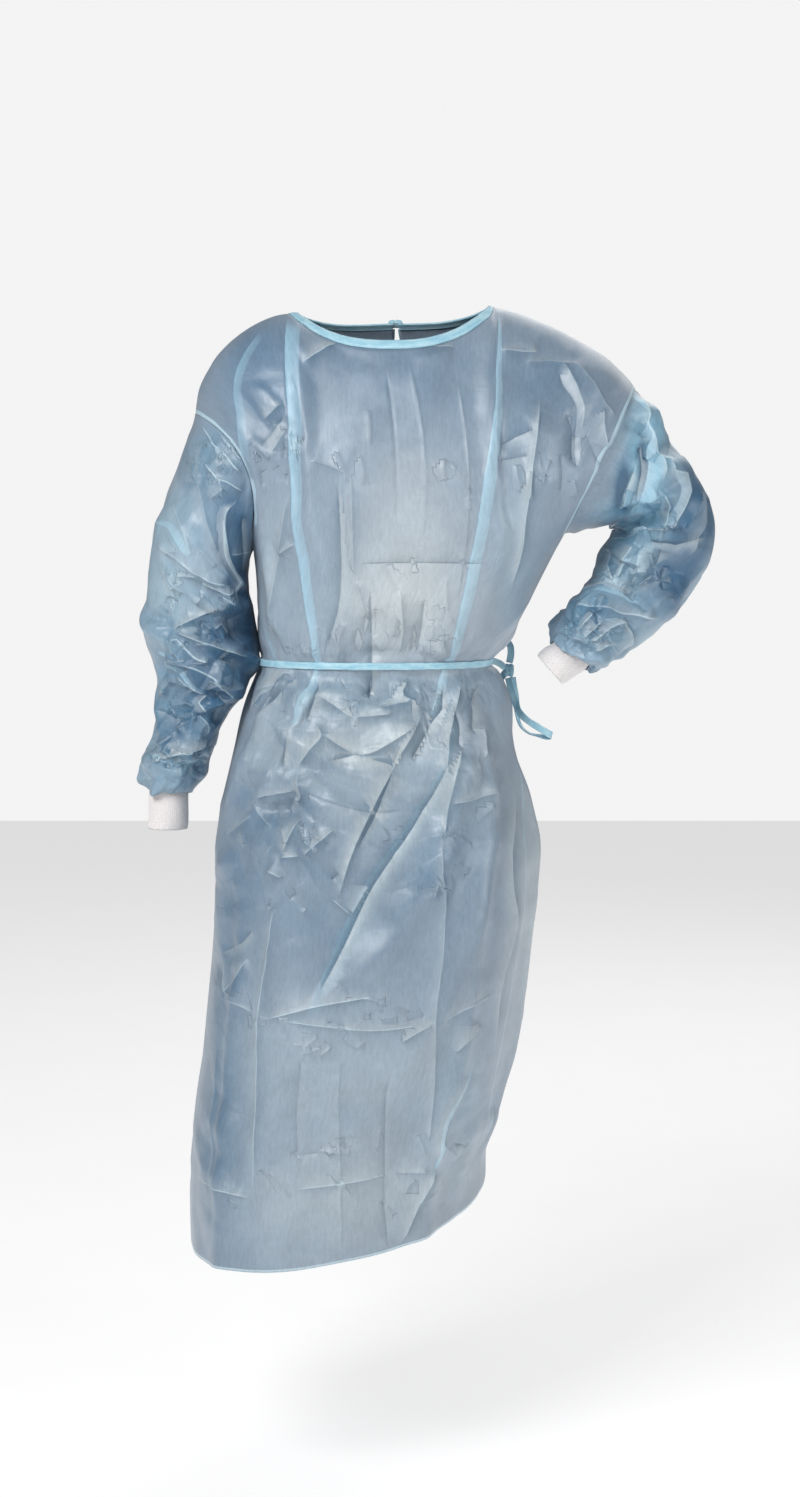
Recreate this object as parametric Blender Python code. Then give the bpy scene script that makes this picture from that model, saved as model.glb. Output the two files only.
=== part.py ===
"""Back-opening protective gown of thin coated nonwoven cloth, in the hollow shape it has when worn.

Each cut piece is one closed wall of cloth: a front, two backs that lap, two dropped-shoulder
sleeves, two knitted cuffs, a neck binding with its tie and a waist belt tied at the wearer's
left back. The neck, the hem, the cuffs and the lapped back are open and the inside is empty.

Frame in metres: +Z up, the front faces -Y, the wearer's left is +X. The origin is where the
wearer carries the gown, midway between the points where the neckline crosses the shoulders.
"""
from collections import namedtuple

import bmesh
import bpy
import numpy as np
from mathutils import Vector

# Driving dimensions ---------------------------------------------------------------------
CLOTH = 0.0012            # wall of the coated cloth
KNIT = 0.0018             # wall of the ribbed cuffs
TAPE = 0.0010             # wall of the folded tape
SEAM_GAP = 0.0003         # clearance between neighbouring pieces
ARMHOLE_GAP = 0.0004      # the same where a sleeve meets the body at an angle
BELT_LEAVES = 0.60        # place across the back where the belt leaves the cloth for its knot
TAPE_WIDTH = 0.009        # binding, belt and ties
BINDING_ACROSS = 0.045    # width of the neck binding at the shoulders, in across units
BINDING_DOWN = 0.029      # and at the middle of the neck, in down units
BINDING_PROUD = 0.0005    # how far the binding stands out of the cloth on each face
HALF_GIRTH = 0.29         # cloth length of one unit of the across coordinate, chest to hem

ARMPIT_DOWN = 0.285       # drop of the chest ring below the origin
BELT_DOWN = 0.433         # drop of the middle of the belt
HEM_DOWN = 1.143          # drop of the hem
RING_SQUARENESS = 2.25    # exponent of the body rings: 2 is an ellipse
NAPE_RISE = 0.012         # rise of the shoulder line behind the neck

FRONT_NECK_CUT = 0.288     # how far the neckline is cut down the front yoke
BACK_NECK_CUT = 0.214      # and down the back yoke
FRONT_YOKE_CURVE = 2.0    # exponent of the yoke's profile over the collar bones
BACK_YOKE_CURVE = 2.5     # and over the shoulder blades

LAP_STEP = 0.0085         # how far the inner back lies under the outer one
LAP_SINKS = (-0.55, -0.30)    # places across between which it goes under
LAP_DEEPENS = 0.25        # and how far down from the neck edge, in down units
LAP = 0.30                # lap of each back past the centre, in across units
LAP_SPREADS = (0.25, 1.0)     # places down between which the lap widens
NECK_OPENING = 0.012      # half gap of the two backs at the neck edge, in across units

# Shoulders: where the neckline crosses, where the armhole seam tops out, how round between
Shoulder = namedtuple("Shoulder", "sign neck_across neck_x neck_z tip_x tip_y tip_z roundness")
RIGHT = Shoulder(-1, 0.43, -0.115, -0.006, -0.2415, 0.005, -0.128, 1.80)
LEFT = Shoulder(1, 0.34, 0.118, 0.002, 0.2985, 0.005, -0.098, 1.35)

# Armholes: reach of the seam in front of and behind its chord, and how far it is cut in
Armhole = namedtuple("Armhole", "shoulder front_reach back_reach cut_in")
ARMHOLES = {"right": Armhole(RIGHT, 0.108, 0.100, 0.034),
            "left": Armhole(LEFT, 0.100, 0.105, 0.004)}

# Body rings from the armpits to the hem: drop below the origin, the wearer's right and left
# edges, the front and back faces, the depth of each side edge and the lift of the left side
Ring = namedtuple("Ring", "down right left front back right_y left_y lift")
BODY = [
    Ring(0.285, -0.1720, 0.2125, -0.150, 0.138, 0.006, 0.006, 0.009),
    Ring(0.323, -0.1680, 0.1905, -0.148, 0.134, 0.004, 0.004, 0.004),
    Ring(0.376, -0.1640, 0.1610, -0.141, 0.126, 0.002, 0.002, 0.000),
    Ring(0.415, -0.1640, 0.1370, -0.132, 0.116, 0.000, 0.000, 0.000),
    Ring(0.433, -0.1620, 0.1220, -0.125, 0.110, 0.000, 0.000, 0.000),
    Ring(0.452, -0.1700, 0.1300, -0.134, 0.118, 0.000, 0.005, 0.000),
    Ring(0.482, -0.1820, 0.1430, -0.147, 0.130, 0.000, 0.015, 0.000),
    Ring(0.540, -0.1960, 0.1530, -0.160, 0.146, 0.000, 0.030, 0.000),
    Ring(0.600, -0.2090, 0.1690, -0.170, 0.158, 0.000, 0.035, 0.000),
    Ring(0.660, -0.2200, 0.1800, -0.178, 0.167, 0.000, 0.045, 0.000),
    Ring(0.720, -0.2200, 0.1770, -0.185, 0.174, 0.000, 0.052, 0.000),
    Ring(0.790, -0.2240, 0.1720, -0.192, 0.182, -0.002, 0.062, 0.000),
    Ring(0.864, -0.2310, 0.1645, -0.199, 0.190, -0.006, 0.076, 0.000),
    Ring(0.940, -0.2380, 0.1520, -0.206, 0.197, -0.012, 0.092, 0.004),
    Ring(1.020, -0.2470, 0.1310, -0.213, 0.204, -0.020, 0.108, 0.012),
    Ring(1.080, -0.2500, 0.1230, -0.219, 0.208, -0.026, 0.118, 0.022),
    Ring(1.143, -0.2510, 0.1190, -0.225, 0.212, -0.030, 0.126, 0.034),
]

# Sleeve rings from the armhole to the gathered end: the outer point, the inner point, the
# depth of the ring's middle and half its depth
Loop = namedtuple("Loop", "out_x out_z in_x in_z mid_y half")
SLEEVES = {
    "right": [
        Loop(-0.2415, -0.128, -0.1720, -0.285, 0.004, 0.104),
        Loop(-0.2610, -0.186, -0.1775, -0.312, 0.004, 0.094),
        Loop(-0.2790, -0.238, -0.1790, -0.334, 0.003, 0.086),
        Loop(-0.2940, -0.284, -0.1770, -0.358, 0.002, 0.080),
        Loop(-0.2995, -0.330, -0.1755, -0.383, 0.002, 0.078),
        Loop(-0.3020, -0.368, -0.1740, -0.408, 0.002, 0.077),
        Loop(-0.3055, -0.402, -0.1740, -0.428, 0.000, 0.076),
        Loop(-0.2930, -0.445, -0.1800, -0.452, -0.003, 0.072),
        Loop(-0.2925, -0.486, -0.1960, -0.482, -0.008, 0.066),
        Loop(-0.2945, -0.521, -0.2120, -0.514, -0.014, 0.059),
        Loop(-0.3080, -0.551, -0.2240, -0.549, -0.020, 0.053),
        Loop(-0.3080, -0.575, -0.2300, -0.574, -0.024, 0.047),
        Loop(-0.3010, -0.590, -0.2500, -0.591, -0.026, 0.027),
    ],
    "left": [
        Loop(0.2985, -0.098, 0.2125, -0.276, 0.004, 0.102),
        Loop(0.3140, -0.118, 0.2290, -0.274, 0.010, 0.095),
        Loop(0.3350, -0.155, 0.2480, -0.270, 0.020, 0.088),
        Loop(0.3670, -0.195, 0.2650, -0.266, 0.032, 0.083),
        Loop(0.3930, -0.232, 0.2770, -0.265, 0.044, 0.079),
        Loop(0.4020, -0.272, 0.2810, -0.269, 0.050, 0.076),
        Loop(0.3960, -0.308, 0.2750, -0.279, 0.048, 0.074),
        Loop(0.3830, -0.335, 0.2640, -0.295, 0.042, 0.072),
        Loop(0.3640, -0.364, 0.2560, -0.314, 0.032, 0.069),
        Loop(0.3370, -0.390, 0.2440, -0.336, 0.018, 0.065),
        Loop(0.3050, -0.414, 0.2260, -0.353, 0.002, 0.059),
        Loop(0.2740, -0.431, 0.2080, -0.369, -0.014, 0.052),
        Loop(0.2530, -0.443, 0.1970, -0.390, -0.026, 0.042),
        Loop(0.2430, -0.437, 0.1990, -0.407, -0.031, 0.028),
    ],
}

# Knitted cuffs, as rings of the same kind: from under the sleeve's end to the wrist edge
CUFFS = {
    "right": [Loop(-0.2994, -0.5875, -0.2515, -0.5885, -0.0260, 0.0255),
              Loop(-0.2996, -0.6000, -0.2515, -0.6005, -0.0268, 0.0246),
              Loop(-0.3000, -0.6150, -0.2520, -0.6155, -0.0280, 0.0240),
              Loop(-0.3015, -0.6380, -0.2528, -0.6385, -0.0300, 0.0245)],
    "left": [Loop(0.2435, -0.4350, 0.2016, -0.4064, -0.0305, 0.0262),
             Loop(0.2365, -0.4410, 0.1950, -0.4110, -0.0330, 0.0250),
             Loop(0.2250, -0.4490, 0.1870, -0.4160, -0.0370, 0.0240),
             Loop(0.2095, -0.4600, 0.1785, -0.4245, -0.0420, 0.0240)],
}

# Largest folds of the body: where each starts and ends below the origin, its place across
# at both ends, how far it bows between, the width of its swell and its height
Fold = namedtuple("Fold", "start_down end_down start_across end_across bow width height")
FRONT_FOLDS = [
    Fold(0.010, 0.425, -0.440, -0.265, -0.055, 0.014, 0.0063),
    Fold(0.010, 0.425, 0.345, 0.430, -0.050, 0.014, 0.0056),
    Fold(0.120, 0.425, -0.860, -0.620, -0.020, 0.020, 0.0063),
    Fold(0.440, 0.640, -0.250, -0.620, 0.030, 0.018, 0.0088),
    Fold(0.440, 0.620, -0.520, -0.800, 0.020, 0.016, 0.0075),
    Fold(0.440, 0.860, 0.430, -0.180, 0.110, 0.022, 0.0100),
    Fold(0.480, 0.980, 0.560, 0.020, 0.090, 0.020, 0.0088),
    Fold(0.700, 1.143, -0.560, -0.500, 0.010, 0.018, 0.0063),
    Fold(0.640, 1.143, 0.400, 0.340, 0.010, 0.018, 0.0069),
    Fold(0.520, 1.120, 0.870, 0.780, 0.040, 0.018, 0.0075),
    Fold(0.760, 1.143, -0.120, -0.020, 0.000, 0.040, -0.0075),
]
BACK_FOLDS = [
    Fold(0.030, 0.425, -0.400, -0.300, -0.030, 0.016, 0.0056),
    Fold(0.030, 0.425, 0.380, 0.310, 0.030, 0.016, 0.0056),
    Fold(0.440, 0.800, -0.300, -0.560, 0.020, 0.022, 0.0094),
    Fold(0.440, 0.760, 0.280, 0.520, -0.020, 0.022, 0.0094),
    Fold(0.460, 1.143, -0.720, -0.640, 0.020, 0.024, 0.0088),
    Fold(0.460, 1.143, 0.700, 0.620, -0.020, 0.024, 0.0088),
    Fold(0.600, 1.143, 0.120, 0.180, 0.010, 0.020, 0.0075),
]

# Largest wrinkles of the sleeves: place along the sleeve, place round it in turns from the
# outer point towards the front, tilt, widths along and round, and height
Wrinkle = namedtuple("Wrinkle", "along turn tilt width spread height")
SLEEVE_WRINKLES = {
    "right": [Wrinkle(0.20, 0.22, 0.30, 0.035, 0.13, 0.0045),
              Wrinkle(0.36, 0.30, -0.35, 0.035, 0.12, -0.0050),
              Wrinkle(0.47, 0.12, 0.35, 0.030, 0.15, 0.0050),
              Wrinkle(0.58, 0.26, -0.25, 0.030, 0.16, 0.0055),
              Wrinkle(0.66, 0.18, 0.30, 0.028, 0.15, -0.0060),
              Wrinkle(0.76, 0.30, 0.20, 0.028, 0.18, 0.0055),
              Wrinkle(0.45, 0.72, 0.25, 0.032, 0.16, 0.0050),
              Wrinkle(0.62, 0.66, -0.25, 0.032, 0.16, 0.0050)],
    "left": [Wrinkle(0.12, 0.08, 0.20, 0.030, 0.10, 0.0050),
             Wrinkle(0.22, 0.24, 0.45, 0.032, 0.12, 0.0055),
             Wrinkle(0.33, 0.34, -0.40, 0.030, 0.12, -0.0055),
             Wrinkle(0.44, 0.28, 0.30, 0.030, 0.14, 0.0055),
             Wrinkle(0.57, 0.34, -0.30, 0.030, 0.14, -0.0050),
             Wrinkle(0.70, 0.22, 0.30, 0.030, 0.16, 0.0055),
             Wrinkle(0.80, 0.16, -0.30, 0.026, 0.16, 0.0050),
             Wrinkle(0.40, 0.74, 0.20, 0.032, 0.16, 0.0050),
             Wrinkle(0.64, 0.70, -0.20, 0.032, 0.16, 0.0050)],
}

# Free stretches of the belt tape: points of its middle line and the direction of its width
Bend = namedtuple("Bend", "x y z wide_x wide_y wide_z")
BELT_TO_KNOT = [Bend(0.1290, 0.0100, -0.4345, 0.0, 0.0, 1.0),
                Bend(0.1350, 0.0185, -0.4375, 0.1, 0.0, 1.0),
                Bend(0.1415, 0.0270, -0.4430, 0.2, 0.0, 1.0)]
BELT_FROM_KNOT = [Bend(0.1470, 0.0380, -0.4372, 1.0, 0.2, 0.0),
                  Bend(0.1490, 0.0385, -0.4265, 1.0, 0.2, -0.1),
                  Bend(0.1480, 0.0410, -0.4160, 1.0, 0.3, -0.1),
                  Bend(0.1430, 0.0490, -0.4105, 0.9, 0.5, 0.3),
                  Bend(0.1330, 0.0600, -0.4160, 0.3, 0.2, 1.0),
                  Bend(0.1170, 0.0710, -0.4270, 0.0, 0.0, 1.0)]
BELT_LOOP = [Bend(0.1455, 0.0330, -0.4560, 1.0, 0.0, 0.0),
             Bend(0.1490, 0.0300, -0.4700, 1.0, 0.1, 0.1),
             Bend(0.1535, 0.0260, -0.4840, 0.8, 0.1, 0.5),
             Bend(0.1585, 0.0180, -0.4970, 0.4, 0.0, 1.0),
             Bend(0.1685, 0.0080, -0.5075, 0.3, 0.0, 1.0),
             Bend(0.1815, 0.0010, -0.5155, 0.3, 0.0, 1.0),
             Bend(0.1930, -0.0010, -0.5225, 0.3, 0.0, 1.0),
             Bend(0.1990, 0.0045, -0.5265, 0.3, 0.2, 1.0),
             Bend(0.1945, 0.0120, -0.5285, 0.2, 0.6, 0.8),
             Bend(0.1840, 0.0210, -0.5275, 0.1, 1.0, 0.3),
             Bend(0.1700, 0.0350, -0.5245, 0.3, 1.0, 0.0),
             Bend(0.1600, 0.0460, -0.5130, 0.5, 0.9, 0.0),
             Bend(0.1560, 0.0460, -0.4850, 0.9, 0.3, 0.0),
             Bend(0.1510, 0.0410, -0.4560, 1.0, 0.2, 0.0)]
KNOT_CENTRE = (0.1460, 0.0360, -0.4465)
KNOT_SIZE = (0.014, 0.016, 0.017)

# Loose tape ends that lie on the back: their places across and below the origin
Rest = namedtuple("Rest", "across drop")
BELT_ENDS = {"left": [Rest(0.80, 0.520), Rest(0.78, 0.560), Rest(0.76, 0.600), Rest(0.75, 0.640)],
             "right": [Rest(0.66, 0.510), Rest(0.62, 0.545), Rest(0.60, 0.580), Rest(0.59, 0.610)]}
BELT_END_ROOTS = {"left": (0.1500, 0.0466, -0.4500), "right": (0.1435, 0.0450, -0.4480)}
BELT_END_TURNS = {"left": (0.1520, 0.0620, -0.4740), "right": (0.1330, 0.0800, -0.4710)}
NECK_ENDS = {"left": [Rest(0.018, 0.0393), Rest(0.024, 0.056), Rest(0.052, 0.085),
                      Rest(0.085, 0.120), Rest(0.104, 0.160), Rest(0.108, 0.198)],
             "right": [Rest(-0.018, 0.0393), Rest(-0.026, 0.056), Rest(-0.062, 0.080),
                       Rest(-0.098, 0.110), Rest(-0.130, 0.140), Rest(-0.150, 0.168)]}
NECK_KNOT_SIZE = (0.018, 0.011, 0.007)
KNOT_ROUNDING = 0.3       # share of a knot's least size that its rounded edges take
LAY_OFF = 0.0013          # loose tape lies this far off the cloth

# Fades, as shares of the run of a fold or a sleeve and in across units
FOLD_RUN_IN = 0.15        # length over which a fold rises
FOLD_RUN_OUT = 0.20       # and falls
FOLD_CLEAR_OF_SEAM = 0.08     # the folds are flat this near the side seams
WRINKLE_FADE = 0.10       # the wrinkles are flat this near both ends of a sleeve
SLEEVE_HEAD = 0.22        # length over which a sleeve leaves its armhole's shape

# Sampling of the walls
FRONT_COLUMNS = 26
BACK_COLUMNS = 12
YOKE_ROWS = 9
SLEEVE_SIDES = 18
SLEEVE_ROWS = 16
CUFF_SIDES = 18
CUFF_ROWS = 4
TAPE_STEPS = 2            # steps between two points of a free stretch of tape
RIM_STEP = 0.05           # how far from an armhole the slope of each piece is taken
VALLEY = 0.4              # how deep a valley between panel and sleeve ends their mitre
COLUMN_APART = 0.02       # least step between two columns of the belt
DIFFERENCE = 1e-4         # step of the finite differences that give the normals


# Shaping functions ----------------------------------------------------------------------
def mix(low, high, share):
    return low + (high - low) * share


def smooth(share):
    share = np.clip(share, 0.0, 1.0)
    return share * share * (3.0 - 2.0 * share)


def curve(knots, values, at):
    """Cubic through a table's values, with slopes from the neighbouring rows."""
    knots, values, at = np.asarray(knots), np.asarray(values), np.asarray(at, dtype=float)
    slopes = np.gradient(values, knots)
    at = np.clip(at, knots[0], knots[-1])
    low = np.clip(np.searchsorted(knots, at, side="right") - 1, 0, len(knots) - 2)
    span = knots[low + 1] - knots[low]
    t = (at - knots[low]) / span
    return ((2 * t**3 - 3 * t**2 + 1) * values[low] + (t**3 - 2 * t**2 + t) * span * slopes[low]
            + (3 * t**2 - 2 * t**3) * values[low + 1] + (t**3 - t**2) * span * slopes[low + 1])


def unit(vectors):
    return vectors / np.linalg.norm(vectors, axis=-1, keepdims=True)


def stack(x, y, z):
    return np.stack(np.broadcast_arrays(x, y, z), axis=-1).astype(float)


# Body: across runs from -1 (the wearer's right side seam) to 1, down from 0 at the shoulder
# line to 1 at the armpits and 2 at the hem -----------------------------------------------
def ring(across, drop, back):
    """Point of the body ring that hangs `drop` below the origin."""
    row = {name: curve([r.down for r in BODY], [getattr(r, name) for r in BODY], drop)
           for name in Ring._fields[1:]}
    angle = np.clip(across, -1.0, 1.0) * np.pi / 2
    power = 2.0 / RING_SQUARENESS
    side = np.sign(angle) * np.abs(np.sin(angle)) ** power
    depth = np.abs(np.cos(angle)) ** power
    share = (side + 1) / 2
    reach = (row["back"] if back else row["front"]) - (row["right_y"] + row["left_y"]) / 2
    x = mix(row["right"], row["left"], share)
    y = mix(row["right_y"], row["left_y"], share) + reach * depth
    z = -drop + row["lift"] * share ** 2
    return stack(x, y, z)


def shoulder_line(across):
    """Ridge from armhole to armhole, which passes unseen over the open neck."""
    across = np.asarray(across, dtype=float)
    line = np.zeros(across.shape + (3,))
    for shoulder in (RIGHT, LEFT):
        place = np.clip(across * shoulder.sign, 0.0, 1.0)
        inside = place / shoulder.neck_across
        outside = (place - shoulder.neck_across) / (1.0 - shoulder.neck_across)
        angle = np.clip(outside, 0.0, 1.0) * np.pi / 2
        power = 2.0 / shoulder.roundness
        outward = np.sin(angle) ** power
        fall = 1.0 - np.cos(angle) ** power
        x = np.where(inside < 1.0, shoulder.neck_x * inside,
                     mix(shoulder.neck_x, shoulder.tip_x, outward))
        z = np.where(inside < 1.0, mix(NAPE_RISE, shoulder.neck_z, smooth(inside)),
                     mix(shoulder.neck_z, shoulder.tip_z, fall))
        y = shoulder.tip_y * np.clip(outside, 0.0, 1.0)
        mine = np.sign(across) == shoulder.sign
        line = np.where(mine[..., None], stack(x, y, z), line)
    middle = np.asarray(across == 0)[..., None]
    return np.where(middle, np.array([0.0, 0.0, NAPE_RISE]), line)


def armhole_axis(name):
    """Middle of an armhole, half its height, and the direction from the body to the arm."""
    shoulder = ARMHOLES[name].shoulder
    top = np.array([shoulder.tip_x, shoulder.tip_y, shoulder.tip_z])
    under = ring(np.array(float(shoulder.sign)), np.array(ARMPIT_DOWN), False)
    half = (top - under) / 2
    return (top + under) / 2, half, unit(np.array([half[2], 0.0, -half[0]])) * shoulder.sign


def armhole(name, turn):
    """Point of the armhole seam; turn runs from the top (0) by the front to the underarm (0.5)."""
    hole = ARMHOLES[name]
    centre, half, to_arm = armhole_axis(name)
    angle = np.asarray(turn, dtype=float) * 2 * np.pi
    sine = np.sin(angle)
    reach = np.where(sine > 0, hole.front_reach, hole.back_reach)
    return (centre + half * np.cos(angle)[..., None]
            + stack(0.0, -reach * sine, 0.0) - to_arm * (hole.cut_in * sine**2)[..., None])


def yoke_share(down, back):
    """How far sideways, outwards and downwards a yoke point has gone."""
    angle = np.arccos(np.cos(np.clip(down, 0.0, 1.0) * np.pi / 2) ** 2)
    power = 2.0 / (BACK_YOKE_CURVE if back else FRONT_YOKE_CURVE)
    outward = np.sin(angle) ** power
    fall = 1.0 - np.cos(angle) ** power
    return stack(np.clip(down, 0.0, 1.0), outward, fall)


def plain_body(across, down, back):
    """Smooth body surface, before its folds."""
    across, down = np.broadcast_arrays(np.asarray(across, float), np.asarray(down, float))
    drop = mix(ARMPIT_DOWN, HEM_DOWN, np.clip(down - 1.0, 0.0, 1.0))
    top, low = shoulder_line(across), ring(across, drop, back)
    share = yoke_share(down, back)
    point = mix(top, low, share)
    for name, hole in ARMHOLES.items():
        sign = hole.shoulder.sign
        edge = np.full(across.shape, float(sign))
        edge_top = shoulder_line(edge)
        edge_low = ring(edge, np.full(across.shape, ARMPIT_DOWN), back)
        turn = np.clip(down, 0.0, 1.0) / 2
        seam = armhole(name, 1.0 - turn if back else turn)
        outward = np.clip(across * sign, 0.0, 1.0)
        sideways = np.sin(outward * np.pi / 2) ** 3
        pull = stack(sideways, outward**2, outward**2)
        point = point + pull * (seam - mix(edge_top, edge_low, share))
    return point


def level(drop):
    """The down coordinate that lies about `drop` below the origin."""
    drop = np.asarray(drop, dtype=float)
    yoke = np.arccos(np.sqrt(np.clip(1.0 - drop / ARMPIT_DOWN, 0.0, 1.0))) / (np.pi / 2)
    skirt = 1.0 + (drop - ARMPIT_DOWN) / (HEM_DOWN - ARMPIT_DOWN)
    return np.where(drop < ARMPIT_DOWN, yoke, skirt)


def body_relief(across, down, back):
    """Height of the folds at a point; all fade out at the side seams and armholes."""
    total = np.zeros(np.broadcast(across, down).shape)
    for fold in BACK_FOLDS if back else FRONT_FOLDS:
        start, end = level(fold.start_down), level(fold.end_down)
        run = (down - start) / (end - start)
        middle = mix(fold.start_across, fold.end_across, run) + fold.bow * 4 * run * (1 - run)
        swell = np.exp(-((across - middle) * HALF_GIRTH / fold.width) ** 2)
        free_end = 1.0 if fold.end_down >= HEM_DOWN else smooth((1 - run) / FOLD_RUN_OUT)
        total = total + fold.height * swell * smooth(run / FOLD_RUN_IN) * free_end
    return total * smooth((1 - np.abs(across)) / FOLD_CLEAR_OF_SEAM)


def lap_inset(across, down):
    """How far the inner back panel lies under the outer one."""
    sinking = smooth((across - LAP_SINKS[0]) / (LAP_SINKS[1] - LAP_SINKS[0]))
    return LAP_STEP * sinking * smooth((down - BACK_NECK_CUT) / LAP_DEEPENS)


def difference(surface, across, down):
    """Unit normal of a surface, taken towards the inside of its range."""
    step_across = np.where(across > 0, -DIFFERENCE, DIFFERENCE)
    step_down = np.where(down > 1, -DIFFERENCE, DIFFERENCE)
    here = surface(across, down)
    along_across = (surface(across + step_across, down) - here) / step_across[..., None]
    along_down = (surface(across, down + step_down) - here) / step_down[..., None]
    return unit(np.cross(along_across, along_down))


def body(across, down, back, inner=False):
    """Outer face of the cloth and its outward normal."""
    across, down = np.broadcast_arrays(np.asarray(across, float), np.asarray(down, float))
    facing = 1.0 if back else -1.0

    def plain(a, d):
        return plain_body(a, d, back)

    def folded(a, d):
        lift = body_relief(a, d, back)
        if inner:
            lift = lift - lap_inset(a, d)
        return plain(a, d) + facing * difference(plain, a, d) * lift[..., None]

    return folded(across, down), facing * difference(folded, across, down)


# Sleeves: turn runs round from the outer point by the front, along from the armhole --------
def tube(rings, turn, along):
    """Point of a tube through a table of rings."""
    places = np.linspace(0.0, 1.0, len(rings))
    row = {name: curve(places, [getattr(r, name) for r in rings], along) for name in Loop._fields}
    angle = np.asarray(turn, dtype=float) * 2 * np.pi
    share = (1 - np.cos(angle)) / 2
    return stack(mix(row["out_x"], row["in_x"], share), row["mid_y"] - row["half"] * np.sin(angle),
                 mix(row["out_z"], row["in_z"], share))


def sleeve_surface(name, turn, along):
    """Sleeve that starts on its armhole seam and carries its large wrinkles."""
    turn, along = np.broadcast_arrays(np.asarray(turn, float), np.asarray(along, float))
    start = np.zeros(along.shape)
    fade = 1.0 - smooth(along / SLEEVE_HEAD)
    return (tube(SLEEVES[name], turn, along)
            + fade[..., None] * (armhole(name, turn) - tube(SLEEVES[name], turn, start)))


def tube_normal(surface, turn, along, sign):
    step_along = np.where(along > 0.5, -DIFFERENCE, DIFFERENCE)
    round_it = surface(turn + DIFFERENCE, along) - surface(turn - DIFFERENCE, along)
    down_it = (surface(turn, along + step_along) - surface(turn, along)) / step_along[..., None]
    return unit(np.cross(down_it, round_it)) * sign


def wrinkle_relief(name, turn, along):
    total = np.zeros(np.broadcast(turn, along).shape)
    for wrinkle in SLEEVE_WRINKLES[name]:
        aside = (np.asarray(turn) - wrinkle.turn + 0.5) % 1.0 - 0.5
        off = along - wrinkle.along - wrinkle.tilt * aside
        total = total + wrinkle.height * np.exp(-(off / wrinkle.width) ** 2
                                                - (aside / wrinkle.spread) ** 2)
    return total * smooth(along / WRINKLE_FADE) * smooth((1 - along) / WRINKLE_FADE)


def sleeve(name, turn, along):
    """Outer face of a sleeve and its outward normal."""
    turn, along = np.broadcast_arrays(np.asarray(turn, float), np.asarray(along, float))
    sign = -ARMHOLES[name].shoulder.sign

    def plain(t, a):
        return sleeve_surface(name, t, a)

    def folded(t, a):
        return plain(t, a) + tube_normal(plain, t, a, sign) * wrinkle_relief(name, t, a)[..., None]

    return folded(turn, along), tube_normal(folded, turn, along, sign)


def rim_normals(name, turn):
    """Normals of the rims of panel and sleeve: a mitre on a ridge, each its own in a valley."""
    sign = ARMHOLES[name].shoulder.sign
    turn = np.asarray(turn, dtype=float)
    on_back = turn > 0.5
    down = np.where(on_back, 1.0 - turn, turn) * 2
    near = np.full(turn.shape, sign * (1.0 - RIM_STEP))
    chest = np.where(on_back[..., None], body(near, down, True)[0], body(near, down, False)[0])
    seam = armhole(name, turn)
    arm = sleeve(name, turn, np.full(turn.shape, RIM_STEP))[0]
    along = armhole(name, turn + DIFFERENCE) - armhole(name, turn - DIFFERENCE)
    panel_side = unit(np.cross(along, seam - chest)) * sign
    arm_side = unit(np.cross(along, arm - seam)) * sign
    valley = (panel_side - arm_side) @ armhole_axis(name)[2]
    share = np.clip(1.0 - valley / VALLEY, 0.0, 1.0)[..., None]
    return unit(panel_side + share * arm_side), unit(arm_side + share * panel_side)


# Solids -----------------------------------------------------------------------------------
def material(name, colour, roughness):
    mat = bpy.data.materials.new(name)
    mat.use_nodes = True
    shader = mat.node_tree.nodes["Principled BSDF"]
    shader.inputs["Base Color"].default_value = (*colour, 1.0)
    shader.inputs["Roughness"].default_value = roughness
    return mat


def wall(name, outer, inner, mat, closed=False):
    """Closed wall between two grids of points; closed joins the first column to the last."""
    columns, rows = outer.shape[:2]
    bm = bmesh.new()
    faces = [[[bm.verts.new(Vector(p)) for p in column] for column in grid]
             for grid in (outer, inner)]
    out, inn = faces
    last = columns if closed else columns - 1
    for i in range(last):
        j = (i + 1) % columns
        for k in range(rows - 1):
            bm.faces.new((out[i][k], out[i][k + 1], out[j][k + 1]))
            bm.faces.new((out[i][k], out[j][k + 1], out[j][k]))
            bm.faces.new((inn[i][k], inn[j][k + 1], inn[i][k + 1]))
            bm.faces.new((inn[i][k], inn[j][k], inn[j][k + 1]))
        for k in (0, rows - 1):
            bm.faces.new((out[i][k], out[j][k], inn[j][k], inn[i][k]))
    if not closed:
        for i in (0, columns - 1):
            for k in range(rows - 1):
                bm.faces.new((out[i][k], out[i][k + 1], inn[i][k + 1], inn[i][k]))
    return add_object(name, bm, mat)


def add_object(name, bm, mat):
    """Object of one closed mesh, its faces turned outwards."""
    bm.normal_update()
    bmesh.ops.recalc_face_normals(bm, faces=bm.faces)
    if bm.calc_volume(signed=True) < 0:
        bmesh.ops.reverse_faces(bm, faces=bm.faces)
    mesh = bpy.data.meshes.new(name)
    bm.to_mesh(mesh)
    bm.free()
    mesh.materials.append(mat)
    mesh.shade_smooth()
    mesh.set_sharp_from_angle(angle=0.7)
    obj = bpy.data.objects.new(name, mesh)
    bpy.data.collections["protective_gown"].objects.link(obj)
    return obj


def neck_size(across, back, share):
    """Half width and cut of the neck opening: share 0 at the bound edge, 1 at the binding's seam."""
    neck = np.where(across < 0, RIGHT.neck_across, LEFT.neck_across)
    cut = BACK_NECK_CUT if back else FRONT_NECK_CUT
    return neck + BINDING_ACROSS * share, cut + BINDING_DOWN * share


def neck_start(across, back):
    """The down coordinate of a panel's top: it is cut away above the binding's seam."""
    neck, cut = neck_size(across, back, 1.0)
    return cut * np.sqrt(np.clip(1.0 - (across / neck) ** 2, 0.0, 1.0))


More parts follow.
